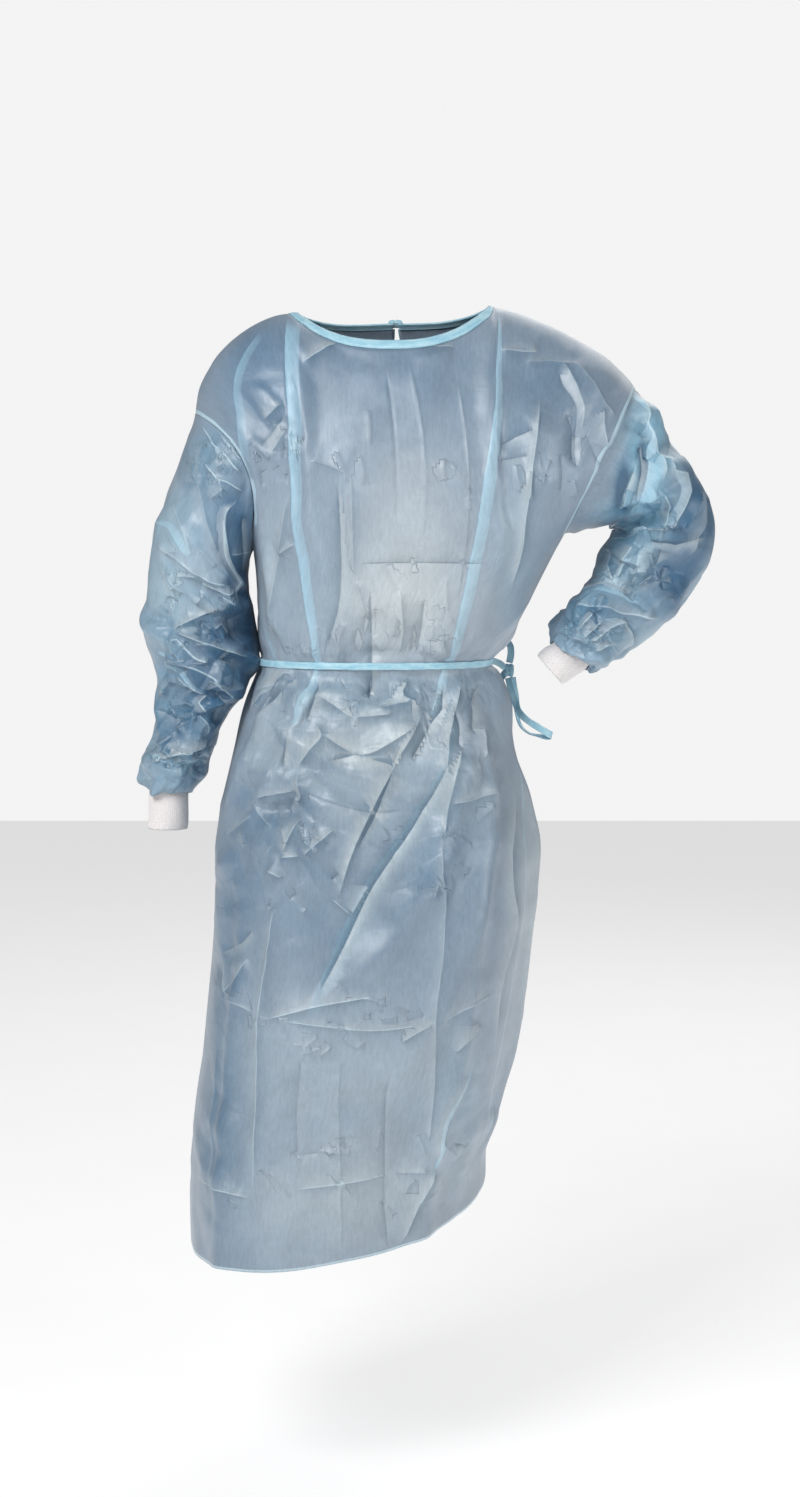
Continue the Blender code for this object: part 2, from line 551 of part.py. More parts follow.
def row_levels():
    """Skirt rows: even steps, with rows on both edges of the belt."""
    belt = [BELT_DOWN - TAPE_WIDTH / 2, BELT_DOWN + TAPE_WIDTH / 2]
    upper = np.linspace(ARMPIT_DOWN, belt[0], 4)
    lower = np.array([0.458, 0.492])
    skirt = np.linspace(0.545, HEM_DOWN, 11)
    return level(np.concatenate([upper[1:], [belt[1]], lower, skirt]))


def with_corners(columns, corners):
    """Moves the nearest columns onto the neck corners."""
    for corner in corners:
        columns[np.argmin(np.abs(columns - corner))] = corner
    return columns


def front_columns():
    return with_corners(np.linspace(-1.0, 1.0, FRONT_COLUMNS + 1),
                        (-RIGHT.neck_across - BINDING_ACROSS, LEFT.neck_across + BINDING_ACROSS))


def back_columns(sign):
    """Columns of a back panel at the neck edge, from its side seam to its opening."""
    shoulder = LEFT if sign > 0 else RIGHT
    return with_corners(np.linspace(sign, sign * NECK_OPENING, BACK_COLUMNS + 1),
                        (sign * (shoulder.neck_across + BINDING_ACROSS),))


def lapped(sign, base, down):
    """Place across of a back panel's column, which spreads past the centre below the nape."""
    spread = (base - sign) / (sign * NECK_OPENING - sign)
    widening = smooth((down - LAP_SPREADS[0]) / (LAP_SPREADS[1] - LAP_SPREADS[0]))
    opening = mix(sign * NECK_OPENING, -sign * LAP, widening)
    return mix(sign, opening, spread)


def panel(name, columns, sign, mat):
    """Body panel; sign is 0 for the front, and the side of the seam for a back."""
    back, inner = sign != 0, sign < 0
    share = np.linspace(0.0, 1.0, YOKE_ROWS + 1)
    down = np.array([np.concatenate([mix(neck_start(a, back), 1.0, share), row_levels()])
                     for a in columns])
    across = np.broadcast_to(columns[:, None], down.shape)
    if back:
        across = lapped(sign, across, down)
    seam = 1.0 - SEAM_GAP / 2 / HALF_GIRTH
    outer, normal = body(np.clip(across, -seam, seam), down, back, inner)
    for hole_name, hole in ARMHOLES.items():
        edge = np.abs(columns - hole.shoulder.sign) < 1e-9
        in_hole = edge[:, None] & (down <= 1.0)
        if in_hole.any():
            turn = 1.0 - down[in_hole] / 2 if back else down[in_hole] / 2
            normal[in_hole] = rim_normals(hole_name, turn)[0]
    ridge = np.abs(neck_start(columns, back)) < 1e-9
    outer[ridge, 0, 1] += SEAM_GAP / 2 * (1 if back else -1)
    return wall(name, outer, outer - normal * CLOTH, mat)


def sleeve_wall(name, mat):
    turn = np.arange(SLEEVE_SIDES) / SLEEVE_SIDES
    along = np.linspace(0.0, 1.0, SLEEVE_ROWS)
    outer, normal = sleeve(name, turn[:, None], along[None, :])
    normal[:, 0] = rim_normals(name, turn)[1]
    outer[:, 0] += armhole_axis(name)[2] * ARMHOLE_GAP
    return wall("sleeve_" + name, outer, outer - normal * CLOTH, mat, closed=True)


def cuff_wall(name, mat):
    turn = np.arange(CUFF_SIDES)[:, None] / CUFF_SIDES
    along = np.linspace(0.0, 1.0, CUFF_ROWS)[None, :]
    sign = -ARMHOLES[name].shoulder.sign

    def surface(t, a):
        return tube(CUFFS[name], t, a)

    turn, along = np.broadcast_arrays(turn, along)
    outer = surface(turn, along)
    normal = tube_normal(surface, turn, along, sign)
    return wall("cuff_" + name, outer, outer - normal * KNIT, mat, closed=True)


def neck_path():
    """Across and side of the columns along the neck, from the right opening round to the left."""
    corners = (-RIGHT.neck_across - BINDING_ACROSS, LEFT.neck_across + BINDING_ACROSS)
    right_back = [(a, True) for a in back_columns(-1)[::-1] if a > corners[0]]
    front = [(a, False) for a in front_columns() if corners[0] <= a <= corners[1]]
    left_back = [(a, True) for a in back_columns(1) if a < corners[1]]
    return right_back + front + left_back


def neck_binding(mat):
    """Doubled tape that carries the cloth on to the bound neck edge."""
    points, normals = [], []
    width_share = 1.0 - SEAM_GAP / TAPE_WIDTH
    for across, back in neck_path():
        outside = neck_size(across, back, 1.0)[0]
        lean = np.sqrt(max(1.0 - (across / outside) ** 2, 0.0))
        column = [(across / outside * neck, cut * lean)
                  for neck, cut in (neck_size(across, back, w) for w in (0.0, width_share))]
        point, normal = body(*np.array(column).T, back)
        points.append(point)
        normals.append(normal)
    points, normals = np.array(points), np.array(normals)
    return wall("neck_binding", points + normals * BINDING_PROUD,
                points - normals * (CLOTH + BINDING_PROUD), mat)


# Tape stretches: each point has a place, a width direction and an outward normal -------------
def free_stretch(bends):
    """Smooth stretch of tape through a table of bends."""
    places = np.arange(len(bends))
    at = np.linspace(0, len(bends) - 1, (len(bends) - 1) * TAPE_STEPS + 1)
    column = [curve(places, [getattr(b, name) for b in bends], at) for name in Bend._fields]
    points, wide = np.stack(column[:3], axis=-1), np.stack(column[3:], axis=-1)
    tangent = unit(np.gradient(points, axis=0))
    wide = unit(wide - tangent * np.sum(wide * tangent, axis=-1, keepdims=True))
    return points, wide, unit(np.cross(wide, tangent))


def tape(name, points, wide, normal, mat):
    """Flat tape of the common width, half its wall on each side of its middle line."""
    edges = np.stack([points + wide * TAPE_WIDTH / 2, points - wide * TAPE_WIDTH / 2], axis=1)
    lift = normal[:, None] * TAPE / 2
    return wall(name, edges + lift, edges - lift, mat)


def waist_belt(mat):
    """Belt round the gathered waist, from the knot across the front and back to the knot."""
    down = level(np.array([BELT_DOWN - TAPE_WIDTH / 2, BELT_DOWN + TAPE_WIDTH / 2]))
    middle = float(down.mean())
    right = lapped(-1, back_columns(-1), middle)
    left = lapped(1, back_columns(1), middle)[::-1]
    front = front_columns()[::-1]
    back = np.concatenate([right[right < left[0] - COLUMN_APART], left[left < BELT_LEAVES]])
    outer, inner = [], []
    for columns, side in ((front, False), (back, True)):
        point, normal = body(columns[:, None], down[None, :], side)
        outer.append(point + normal * (SEAM_GAP + TAPE))
        inner.append(point + normal * SEAM_GAP)
    lead, lead_wide, lead_normal = free_stretch(BELT_TO_KNOT[::-1])
    tail, tail_wide, tail_normal = free_stretch(BELT_FROM_KNOT[::-1])

    def faces(points, wide, normal):
        edges = np.stack([points + wide * TAPE_WIDTH / 2, points - wide * TAPE_WIDTH / 2], axis=1)
        return edges + normal[:, None] * TAPE / 2, edges - normal[:, None] * TAPE / 2

    lead_out, lead_in = faces(lead, lead_wide, lead_normal)
    tail_out, tail_in = faces(tail, tail_wide, tail_normal)
    outer = np.concatenate([lead_out, outer[0], outer[1][1:], tail_out])
    inner = np.concatenate([lead_in, inner[0], inner[1][1:], tail_in])
    return wall("waist_belt", outer, inner, mat)


def resting_stretch(rests, start=(), inner=False):
    """Stretch of tape that lies on the back, after any free starting points."""
    places = np.arange(len(rests))
    at = np.linspace(0, len(rests) - 1, (len(rests) - 1) * TAPE_STEPS + 1)
    across, drop = (curve(places, [getattr(r, name) for r in rests], at) for name in Rest._fields)
    point, normal = body(across, level(drop), True, inner)
    resting = point + normal * (LAY_OFF + TAPE / 2)
    free = np.array(start).reshape(-1, 3)
    if len(free):
        knots = np.concatenate([free, resting[:2]])
        stop = len(free)
        steps = np.linspace(0, stop, stop * TAPE_STEPS + 1)[:-1]
        free = np.stack([curve(np.arange(len(knots)), knots[:, k], steps) for k in range(3)], -1)
    path = np.concatenate([free, resting])
    facing = np.concatenate([np.repeat(normal[:1], len(free), axis=0), normal])
    tangent = unit(np.gradient(path, axis=0))
    wide = unit(np.cross(tangent, facing))
    return path, wide, unit(np.cross(wide, tangent))


def knot(name, centre, axes, size, mat):
    """Pulled-tight knot: a well rounded block on three axes."""
    bm = bmesh.new()
    bmesh.ops.create_cube(bm, size=1.0)
    for vert in bm.verts:
        place = sum((np.array(axis) * vert.co[k] * size[k] for k, axis in enumerate(axes)),
                    np.array(centre, dtype=float))
        vert.co = Vector(place)
    bm.normal_update()
    bmesh.ops.bevel(bm, geom=bm.edges[:], offset=min(size) * KNOT_ROUNDING, segments=2, profile=0.5,
                    affect="EDGES", material=-1)
    return add_object(name, bm, mat)


def neck_tie(mat):
    """Knot over the gap of the two backs and the two loose ends below it."""
    down = np.array(BACK_NECK_CUT)
    point, normal = body(np.array(0.0), down, True)
    sideways = np.array([1.0, 0.0, 0.0])
    away = unit(np.cross(normal, sideways))
    height = NECK_KNOT_SIZE[2] / 2 + BINDING_PROUD + SEAM_GAP
    centre = point + normal * height + away * TAPE_WIDTH / 2 * np.sign(away[1])
    knot("neck_tie_knot", centre, (sideways, away, normal), NECK_KNOT_SIZE, mat)
    for side, rests in NECK_ENDS.items():
        tape("neck_tie_" + side, *resting_stretch(rests, inner=side == "right"), mat)


def belt_bow(mat):
    """Belt knot with its long loop and the two loose ends that lie on the back."""
    upright = ((1, 0, 0), (0, 1, 0), (0, 0, 1))
    knot("belt_knot", KNOT_CENTRE, upright, KNOT_SIZE, mat)
    tape("belt_loop", *free_stretch(BELT_LOOP), mat)
    for side, rests in BELT_ENDS.items():
        start = (BELT_END_ROOTS[side], BELT_END_TURNS[side])
        tape("belt_end_" + side, *resting_stretch(rests, start), mat)


def build():
    cloth = material("coated_nonwoven", (0.27, 0.40, 0.48), 0.40)
    knit = material("ribbed_knit", (0.86, 0.85, 0.85), 0.90)
    tape_cloth = material("folded_tape", (0.30, 0.56, 0.70), 0.50)
    panel("front_panel", front_columns(), 0, cloth)
    panel("back_panel_right", back_columns(-1), -1, cloth)
    panel("back_panel_left", back_columns(1), 1, cloth)
    for side in ("right", "left"):
        sleeve_wall(side, cloth)
        cuff_wall(side, knit)
    neck_binding(tape_cloth)
    neck_tie(tape_cloth)
    waist_belt(tape_cloth)
    belt_bow(tape_cloth)


def main():
    for obj in list(bpy.data.objects):
        bpy.data.objects.remove(obj)
    bpy.context.scene.collection.children.link(bpy.data.collections.new("protective_gown"))
    build()


main()
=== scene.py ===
"""Dressing of the back-opening protective gown: thin creased cloth, ribbed cuffs and folded tape.

Every piece lies on the form of the solid that it stands for, in metres, in the solids' own frame:
+Z up, the front faces -Y, the wearer's left is +X, and the origin is between the shoulders.
"""
import math
from collections import namedtuple
from functools import partial

import bmesh
import bpy
import numpy as np
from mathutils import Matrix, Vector


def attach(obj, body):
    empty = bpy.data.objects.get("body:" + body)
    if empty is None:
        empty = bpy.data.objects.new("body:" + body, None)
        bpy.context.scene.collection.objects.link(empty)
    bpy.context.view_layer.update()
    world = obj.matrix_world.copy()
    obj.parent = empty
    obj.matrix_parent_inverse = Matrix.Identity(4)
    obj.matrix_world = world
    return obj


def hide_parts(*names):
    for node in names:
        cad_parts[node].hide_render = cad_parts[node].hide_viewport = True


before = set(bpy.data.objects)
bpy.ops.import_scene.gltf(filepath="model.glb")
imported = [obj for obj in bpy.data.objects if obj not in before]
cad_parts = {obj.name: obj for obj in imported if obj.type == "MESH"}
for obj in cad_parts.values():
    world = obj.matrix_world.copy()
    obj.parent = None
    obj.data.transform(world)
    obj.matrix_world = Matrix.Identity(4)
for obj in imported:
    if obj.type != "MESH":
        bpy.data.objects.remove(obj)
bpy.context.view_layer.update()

bl_info = {
    "name": "Protective Gown Dresser",
    "version": (1, 0, 0),
    "blender": (4, 5, 0),
    "location": "3D View > Sidebar > Gown",
    "description": "Dresses the gown in thin creased cloth, ribbed cuffs and folded tape",
    "category": "Object",
}

MM = 0.001

# Sizes of the gown ----------------------------------------
CLOTH = 0.0012  # wall of the coated cloth
KNIT = 0.0018  # wall of the ribbed cuffs
TAPE = 0.0010  # wall of the folded tape
SEAM_GAP = 0.0003  # clearance between neighbouring pieces
ARMHOLE_GAP = 0.0004  # the same where a sleeve meets the body at an angle
BELT_LEAVES = 0.60  # place across the back where the belt leaves the cloth for its knot
TAPE_WIDTH = 0.009  # binding, belt and ties
BINDING_ACROSS = 0.045  # width of the neck binding at the shoulders, in across units
BINDING_DOWN = 0.029  # and at the middle of the neck, in down units
BINDING_PROUD = 0.0005  # how far the binding stands out of the cloth on each face
HALF_GIRTH = 0.29  # cloth length of one unit of the across coordinate, chest to hem

ARMPIT_DOWN = 0.285  # drop of the chest ring below the origin
BELT_DOWN = 0.433  # drop of the middle of the belt
HEM_DOWN = 1.143  # drop of the hem
RING_SQUARENESS = 2.25  # exponent of the body rings: 2 is an ellipse
NAPE_RISE = 0.012  # rise of the shoulder line behind the neck

FRONT_NECK_CUT = 0.288  # how far the neckline is cut down the front yoke
BACK_NECK_CUT = 0.214  # and down the back yoke
FRONT_YOKE_CURVE = 2.0  # exponent of the yoke's profile over the collar bones
BACK_YOKE_CURVE = 2.5  # and over the shoulder blades

LAP_STEP = 0.0085  # how far the inner back lies under the outer one
LAP_SINKS = (-0.55, -0.30)  # places across between which it goes under
LAP_DEEPENS = 0.25  # and how far down from the neck edge, in down units
LAP = 0.30  # lap of each back past the centre, in across units
LAP_SPREADS = (0.25, 1.0)  # places down between which the lap widens
NECK_OPENING = 0.012  # half gap of the two backs at the neck edge, in across units

# Shoulders: where the neckline crosses, where the armhole seam tops out, how round between
Shoulder = namedtuple("Shoulder", "sign neck_across neck_x neck_z tip_x tip_y tip_z roundness")
RIGHT = Shoulder(-1, 0.43, -0.115, -0.006, -0.2415, 0.005, -0.128, 1.80)
LEFT = Shoulder(1, 0.34, 0.118, 0.002, 0.2985, 0.005, -0.098, 1.35)
NECK_CORNERS = (-RIGHT.neck_across - BINDING_ACROSS, LEFT.neck_across + BINDING_ACROSS)

# Armholes: reach of the seam in front of and behind its chord, and how far it is cut in
Armhole = namedtuple("Armhole", "shoulder front_reach back_reach cut_in")
ARMHOLES = {"right": Armhole(RIGHT, 0.108, 0.100, 0.034),
            "left": Armhole(LEFT, 0.100, 0.105, 0.004)}


def rows(kind, lengths, *table):
    """Rows of a table: the first `lengths` values of each are in mm."""
    return [kind(*(value / 1000 for value in row[:lengths]), *row[lengths:]) for row in table]


# Body rings from the armpits to the hem: drop below the origin, the wearer's right and left
# edges, the front and back faces, the depth of each side edge and the lift of the left side
Ring = namedtuple("Ring", "down right left front back right_y left_y lift")
BODY = rows(Ring, 8,
    (285, -172, 212.5, -150, 138, 6, 6, 9), (323, -168, 190.5, -148, 134, 4, 4, 4),
    (376, -164, 161, -141, 126, 2, 2, 0), (415, -164, 137, -132, 116, 0, 0, 0),
    (433, -162, 122, -125, 110, 0, 0, 0), (452, -170, 130, -134, 118, 0, 5, 0),
    (482, -182, 143, -147, 130, 0, 15, 0), (540, -196, 153, -160, 146, 0, 30, 0),
    (600, -209, 169, -170, 158, 0, 35, 0), (660, -220, 180, -178, 167, 0, 45, 0),
    (720, -220, 177, -185, 174, 0, 52, 0), (790, -224, 172, -192, 182, -2, 62, 0),
    (864, -231, 164.5, -199, 190, -6, 76, 0), (940, -238, 152, -206, 197, -12, 92, 4),
    (1020, -247, 131, -213, 204, -20, 108, 12), (1080, -250, 123, -219, 208, -26, 118, 22),
    (1143, -251, 119, -225, 212, -30, 126, 34))

# Sleeve rings from the armhole to the gathered end: the outer point, the inner point, the
# depth of the ring's middle and half its depth
Loop = namedtuple("Loop", "out_x out_z in_x in_z mid_y half")
SLEEVES = {
    "right": rows(Loop, 6,
        (-241.5, -128, -172, -285, 4, 104), (-261, -186, -177.5, -312, 4, 94),
        (-279, -238, -179, -334, 3, 86),
        (-294, -284, -177, -358, 2, 80), (-299.5, -330, -175.5, -383, 2, 78), (-302, -368, -174, -408, 2, 77),
        (-305.5, -402, -174, -428, 0, 76), (-293, -445, -180, -452, -3, 72),
        (-292.5, -486, -196, -482, -8, 66), (-294.5, -521, -212, -514, -14, 59),
        (-308, -551, -224, -549, -20, 53), (-308, -575, -230, -574, -24, 47),
        (-301, -590, -250, -591, -26, 27)),
    "left": rows(Loop, 6,
        (298.5, -98, 212.5, -276, 4, 102), (314, -118, 229, -274, 10, 95), (335, -155, 248, -270, 20, 88),
        (367, -195, 265, -266, 32, 83), (393, -232, 277, -265, 44, 79), (402, -272, 281, -269, 50, 76),
        (396, -308, 275, -279, 48, 74), (383, -335, 264, -295, 42, 72), (364, -364, 256, -314, 32, 69),
        (337, -390, 244, -336, 18, 65), (305, -414, 226, -353, 2, 59), (274, -431, 208, -369, -14, 52),
        (253, -443, 197, -390, -26, 42), (243, -437, 199, -407, -31, 28)),
}

# Knitted cuffs, as rings of the same kind: from under the sleeve's end to the wrist edge
CUFFS = {
    "right": rows(Loop, 6,
        (-299.4, -587.5, -251.5, -588.5, -26, 25.5), (-299.6, -600, -251.5, -600.5, -26.8, 24.6),
        (-300, -615, -252, -615.5, -28, 24), (-301.5, -638, -252.8, -638.5, -30, 24.5)),
    "left": rows(Loop, 6,
        (243.5, -435, 201.6, -406.4, -30.5, 26.2), (236.5, -441, 195, -411, -33, 25),
        (225, -449, 187, -416, -37, 24), (209.5, -460, 178.5, -424.5, -42, 24)),
}

# Largest folds of the body: where each starts and ends below the origin, the width of its swell
# and its height, its place across at both ends and how far it bows between
Fold = namedtuple("Fold", "start_down end_down width height start_across end_across bow")
FRONT_FOLDS = rows(Fold, 4,
    (10, 425, 14, 6.3, -0.44, -0.265, -0.055), (10, 425, 14, 5.6, 0.345, 0.43, -0.05),
    (120, 425, 20, 6.3, -0.86, -0.62, -0.02), (440, 640, 18, 8.8, -0.25, -0.62, 0.03),
    (440, 620, 16, 7.5, -0.52, -0.8, 0.02), (440, 860, 22, 10, 0.43, -0.18, 0.11),
    (480, 980, 20, 8.8, 0.56, 0.02, 0.09), (700, 1143, 18, 6.3, -0.56, -0.5, 0.01),
    (640, 1143, 18, 6.9, 0.4, 0.34, 0.01), (520, 1120, 18, 7.5, 0.87, 0.78, 0.04),
    (760, 1143, 40, -7.5, -0.12, -0.02, 0))
BACK_FOLDS = rows(Fold, 4,
    (30, 425, 16, 5.6, -0.4, -0.3, -0.03), (30, 425, 16, 5.6, 0.38, 0.31, 0.03),
    (440, 800, 22, 9.4, -0.3, -0.56, 0.02), (440, 760, 22, 9.4, 0.28, 0.52, -0.02),
    (460, 1143, 24, 8.8, -0.72, -0.64, 0.02), (460, 1143, 24, 8.8, 0.7, 0.62, -0.02),
    (600, 1143, 20, 7.5, 0.12, 0.18, 0.01))

# Largest wrinkles of the sleeves: height, place along the sleeve, place round it in turns from the
# outer point towards the front, tilt, and widths along and round
Wrinkle = namedtuple("Wrinkle", "height along turn tilt width spread")
SLEEVE_WRINKLES = {
    "right": rows(Wrinkle, 1,
        (4.5, 0.2, 0.22, 0.3, 0.035, 0.13), (-5, 0.36, 0.3, -0.35, 0.035, 0.12),
        (5, 0.47, 0.12, 0.35, 0.03, 0.15), (5.5, 0.58, 0.26, -0.25, 0.03, 0.16),
        (-6, 0.66, 0.18, 0.3, 0.028, 0.15), (5.5, 0.76, 0.3, 0.2, 0.028, 0.18),
        (5, 0.45, 0.72, 0.25, 0.032, 0.16), (5, 0.62, 0.66, -0.25, 0.032, 0.16)),
    "left": rows(Wrinkle, 1,
        (5, 0.12, 0.08, 0.2, 0.03, 0.1), (5.5, 0.22, 0.24, 0.45, 0.032, 0.12),
        (-5.5, 0.33, 0.34, -0.4, 0.03, 0.12), (5.5, 0.44, 0.28, 0.3, 0.03, 0.14),
        (-5, 0.57, 0.34, -0.3, 0.03, 0.14), (5.5, 0.7, 0.22, 0.3, 0.03, 0.16),
        (5, 0.8, 0.16, -0.3, 0.026, 0.16), (5, 0.4, 0.74, 0.2, 0.032, 0.16),
        (5, 0.64, 0.7, -0.2, 0.032, 0.16)),
}

# The same for the seen cloth alone: the hanging sleeve is fuller towards the body
SLEEVE_FULLNESS = {"right": rows(Wrinkle, 1, (9, 0.42, 0.5, 0, 0.22, 0.12)), "left": []}

# Free stretches of the belt tape: points of its middle line and the direction of its width
Bend = namedtuple("Bend", "x y z wide_x wide_y wide_z")
BELT_TO_KNOT = rows(Bend, 3,
    (129, 10, -434.5, 0, 0, 1), (135, 18.5, -437.5, 0.1, 0, 1), (141.5, 27, -443, 0.2, 0, 1))
BELT_FROM_KNOT = rows(Bend, 3,
    (147, 38, -437.2, 1, 0.2, 0), (149, 38.5, -426.5, 1, 0.2, -0.1), (148, 41, -416, 1, 0.3, -0.1),
    (143, 49, -410.5, 0.9, 0.5, 0.3), (133, 60, -416, 0.3, 0.2, 1), (117, 71, -427, 0, 0, 1))
BELT_LOOP = rows(Bend, 3,
    (145.5, 33, -456, 1, 0, 0), (149, 30, -470, 1, 0.1, 0.1), (153.5, 26, -484, 0.8, 0.1, 0.5),
    (158.5, 18, -497, 0.4, 0, 1), (168.5, 8, -507.5, 0.3, 0, 1), (181.5, 1, -515.5, 0.3, 0, 1),
    (193, -1, -522.5, 0.3, 0, 1), (199, 4.5, -526.5, 0.3, 0.2, 1), (194.5, 12, -528.5, 0.2, 0.6, 0.8),
    (184, 21, -527.5, 0.1, 1, 0.3), (170, 35, -524.5, 0.3, 1, 0), (160, 46, -513, 0.5, 0.9, 0),
    (156, 46, -485, 0.9, 0.3, 0), (151, 41, -456, 1, 0.2, 0))
KNOT_CENTRE = (0.1460, 0.0360, -0.4465)
KNOT_SIZE = (0.014, 0.016, 0.017)

# Loose tape ends that lie on the back: their places across and below the origin
Rest = namedtuple("Rest", "across drop")
BELT_ENDS = {"left": rows(Rest, 0, (0.80, 0.520), (0.78, 0.560), (0.76, 0.600), (0.75, 0.640)),
             "right": rows(Rest, 0, (0.66, 0.510), (0.62, 0.545), (0.60, 0.580), (0.59, 0.610))}
BELT_END_ROOTS = {"left": (0.1500, 0.0466, -0.4500), "right": (0.1435, 0.0450, -0.4480)}
BELT_END_TURNS = {"left": (0.1520, 0.0620, -0.4740), "right": (0.1330, 0.0800, -0.4710)}
NECK_ENDS = {
    "left": rows(Rest, 0, (0.018, 0.0393), (0.024, 0.056), (0.052, 0.085), (0.085, 0.120),
                 (0.104, 0.160), (0.108, 0.198)),
    "right": rows(Rest, 0, (-0.018, 0.0393), (-0.026, 0.056), (-0.062, 0.080), (-0.098, 0.110),
                  (-0.130, 0.140), (-0.150, 0.168))}
NECK_KNOT_SIZE = (0.018, 0.011, 0.007)
LAY_OFF = 0.0013  # loose tape lies this far off the cloth

# Fades, as shares of the run of a fold or a sleeve and in across units
FOLD_RUN_IN = 0.15  # length over which a fold rises
FOLD_RUN_OUT = 0.20  # and falls
FOLD_CLEAR_OF_SEAM = 0.08  # the folds are flat this near the side seams
WRINKLE_FADE = 0.10  # the wrinkles are flat this near both ends of a sleeve
SLEEVE_HEAD = 0.22  # length over which a sleeve leaves its armhole's shape

DIFFERENCE = 1e-4  # step of the finite differences that give the normals
CURVE_STEPS = 4  # steps between two places of a softly rounded path


# Creases --------------------------------------------------
# A crease runs through (x, drop) places in metres, seen from its own side of the gown. It stands
# `height` mm out of the cloth (negative is a trough), falls off over `left` and `right` mm beside
# its path, and its crest is `shade` paler (negative is darker) along a line about a mm wide: a
# painted highlight with some real whitening of the film, or painted shade in a trough. Painted
# light and shade show on its sides by `flanks`.
Crease = namedtuple("Crease", "height left right shade flanks path")


def creases(*table):
    """Creases from rows of height, left, right, shade, flanks and the places x, drop, x, drop ... in mm."""
    return [Crease(*row[:5], [(x / 1000, drop / 1000) for x, drop in zip(row[5::2], row[6::2])])
            for row in table]


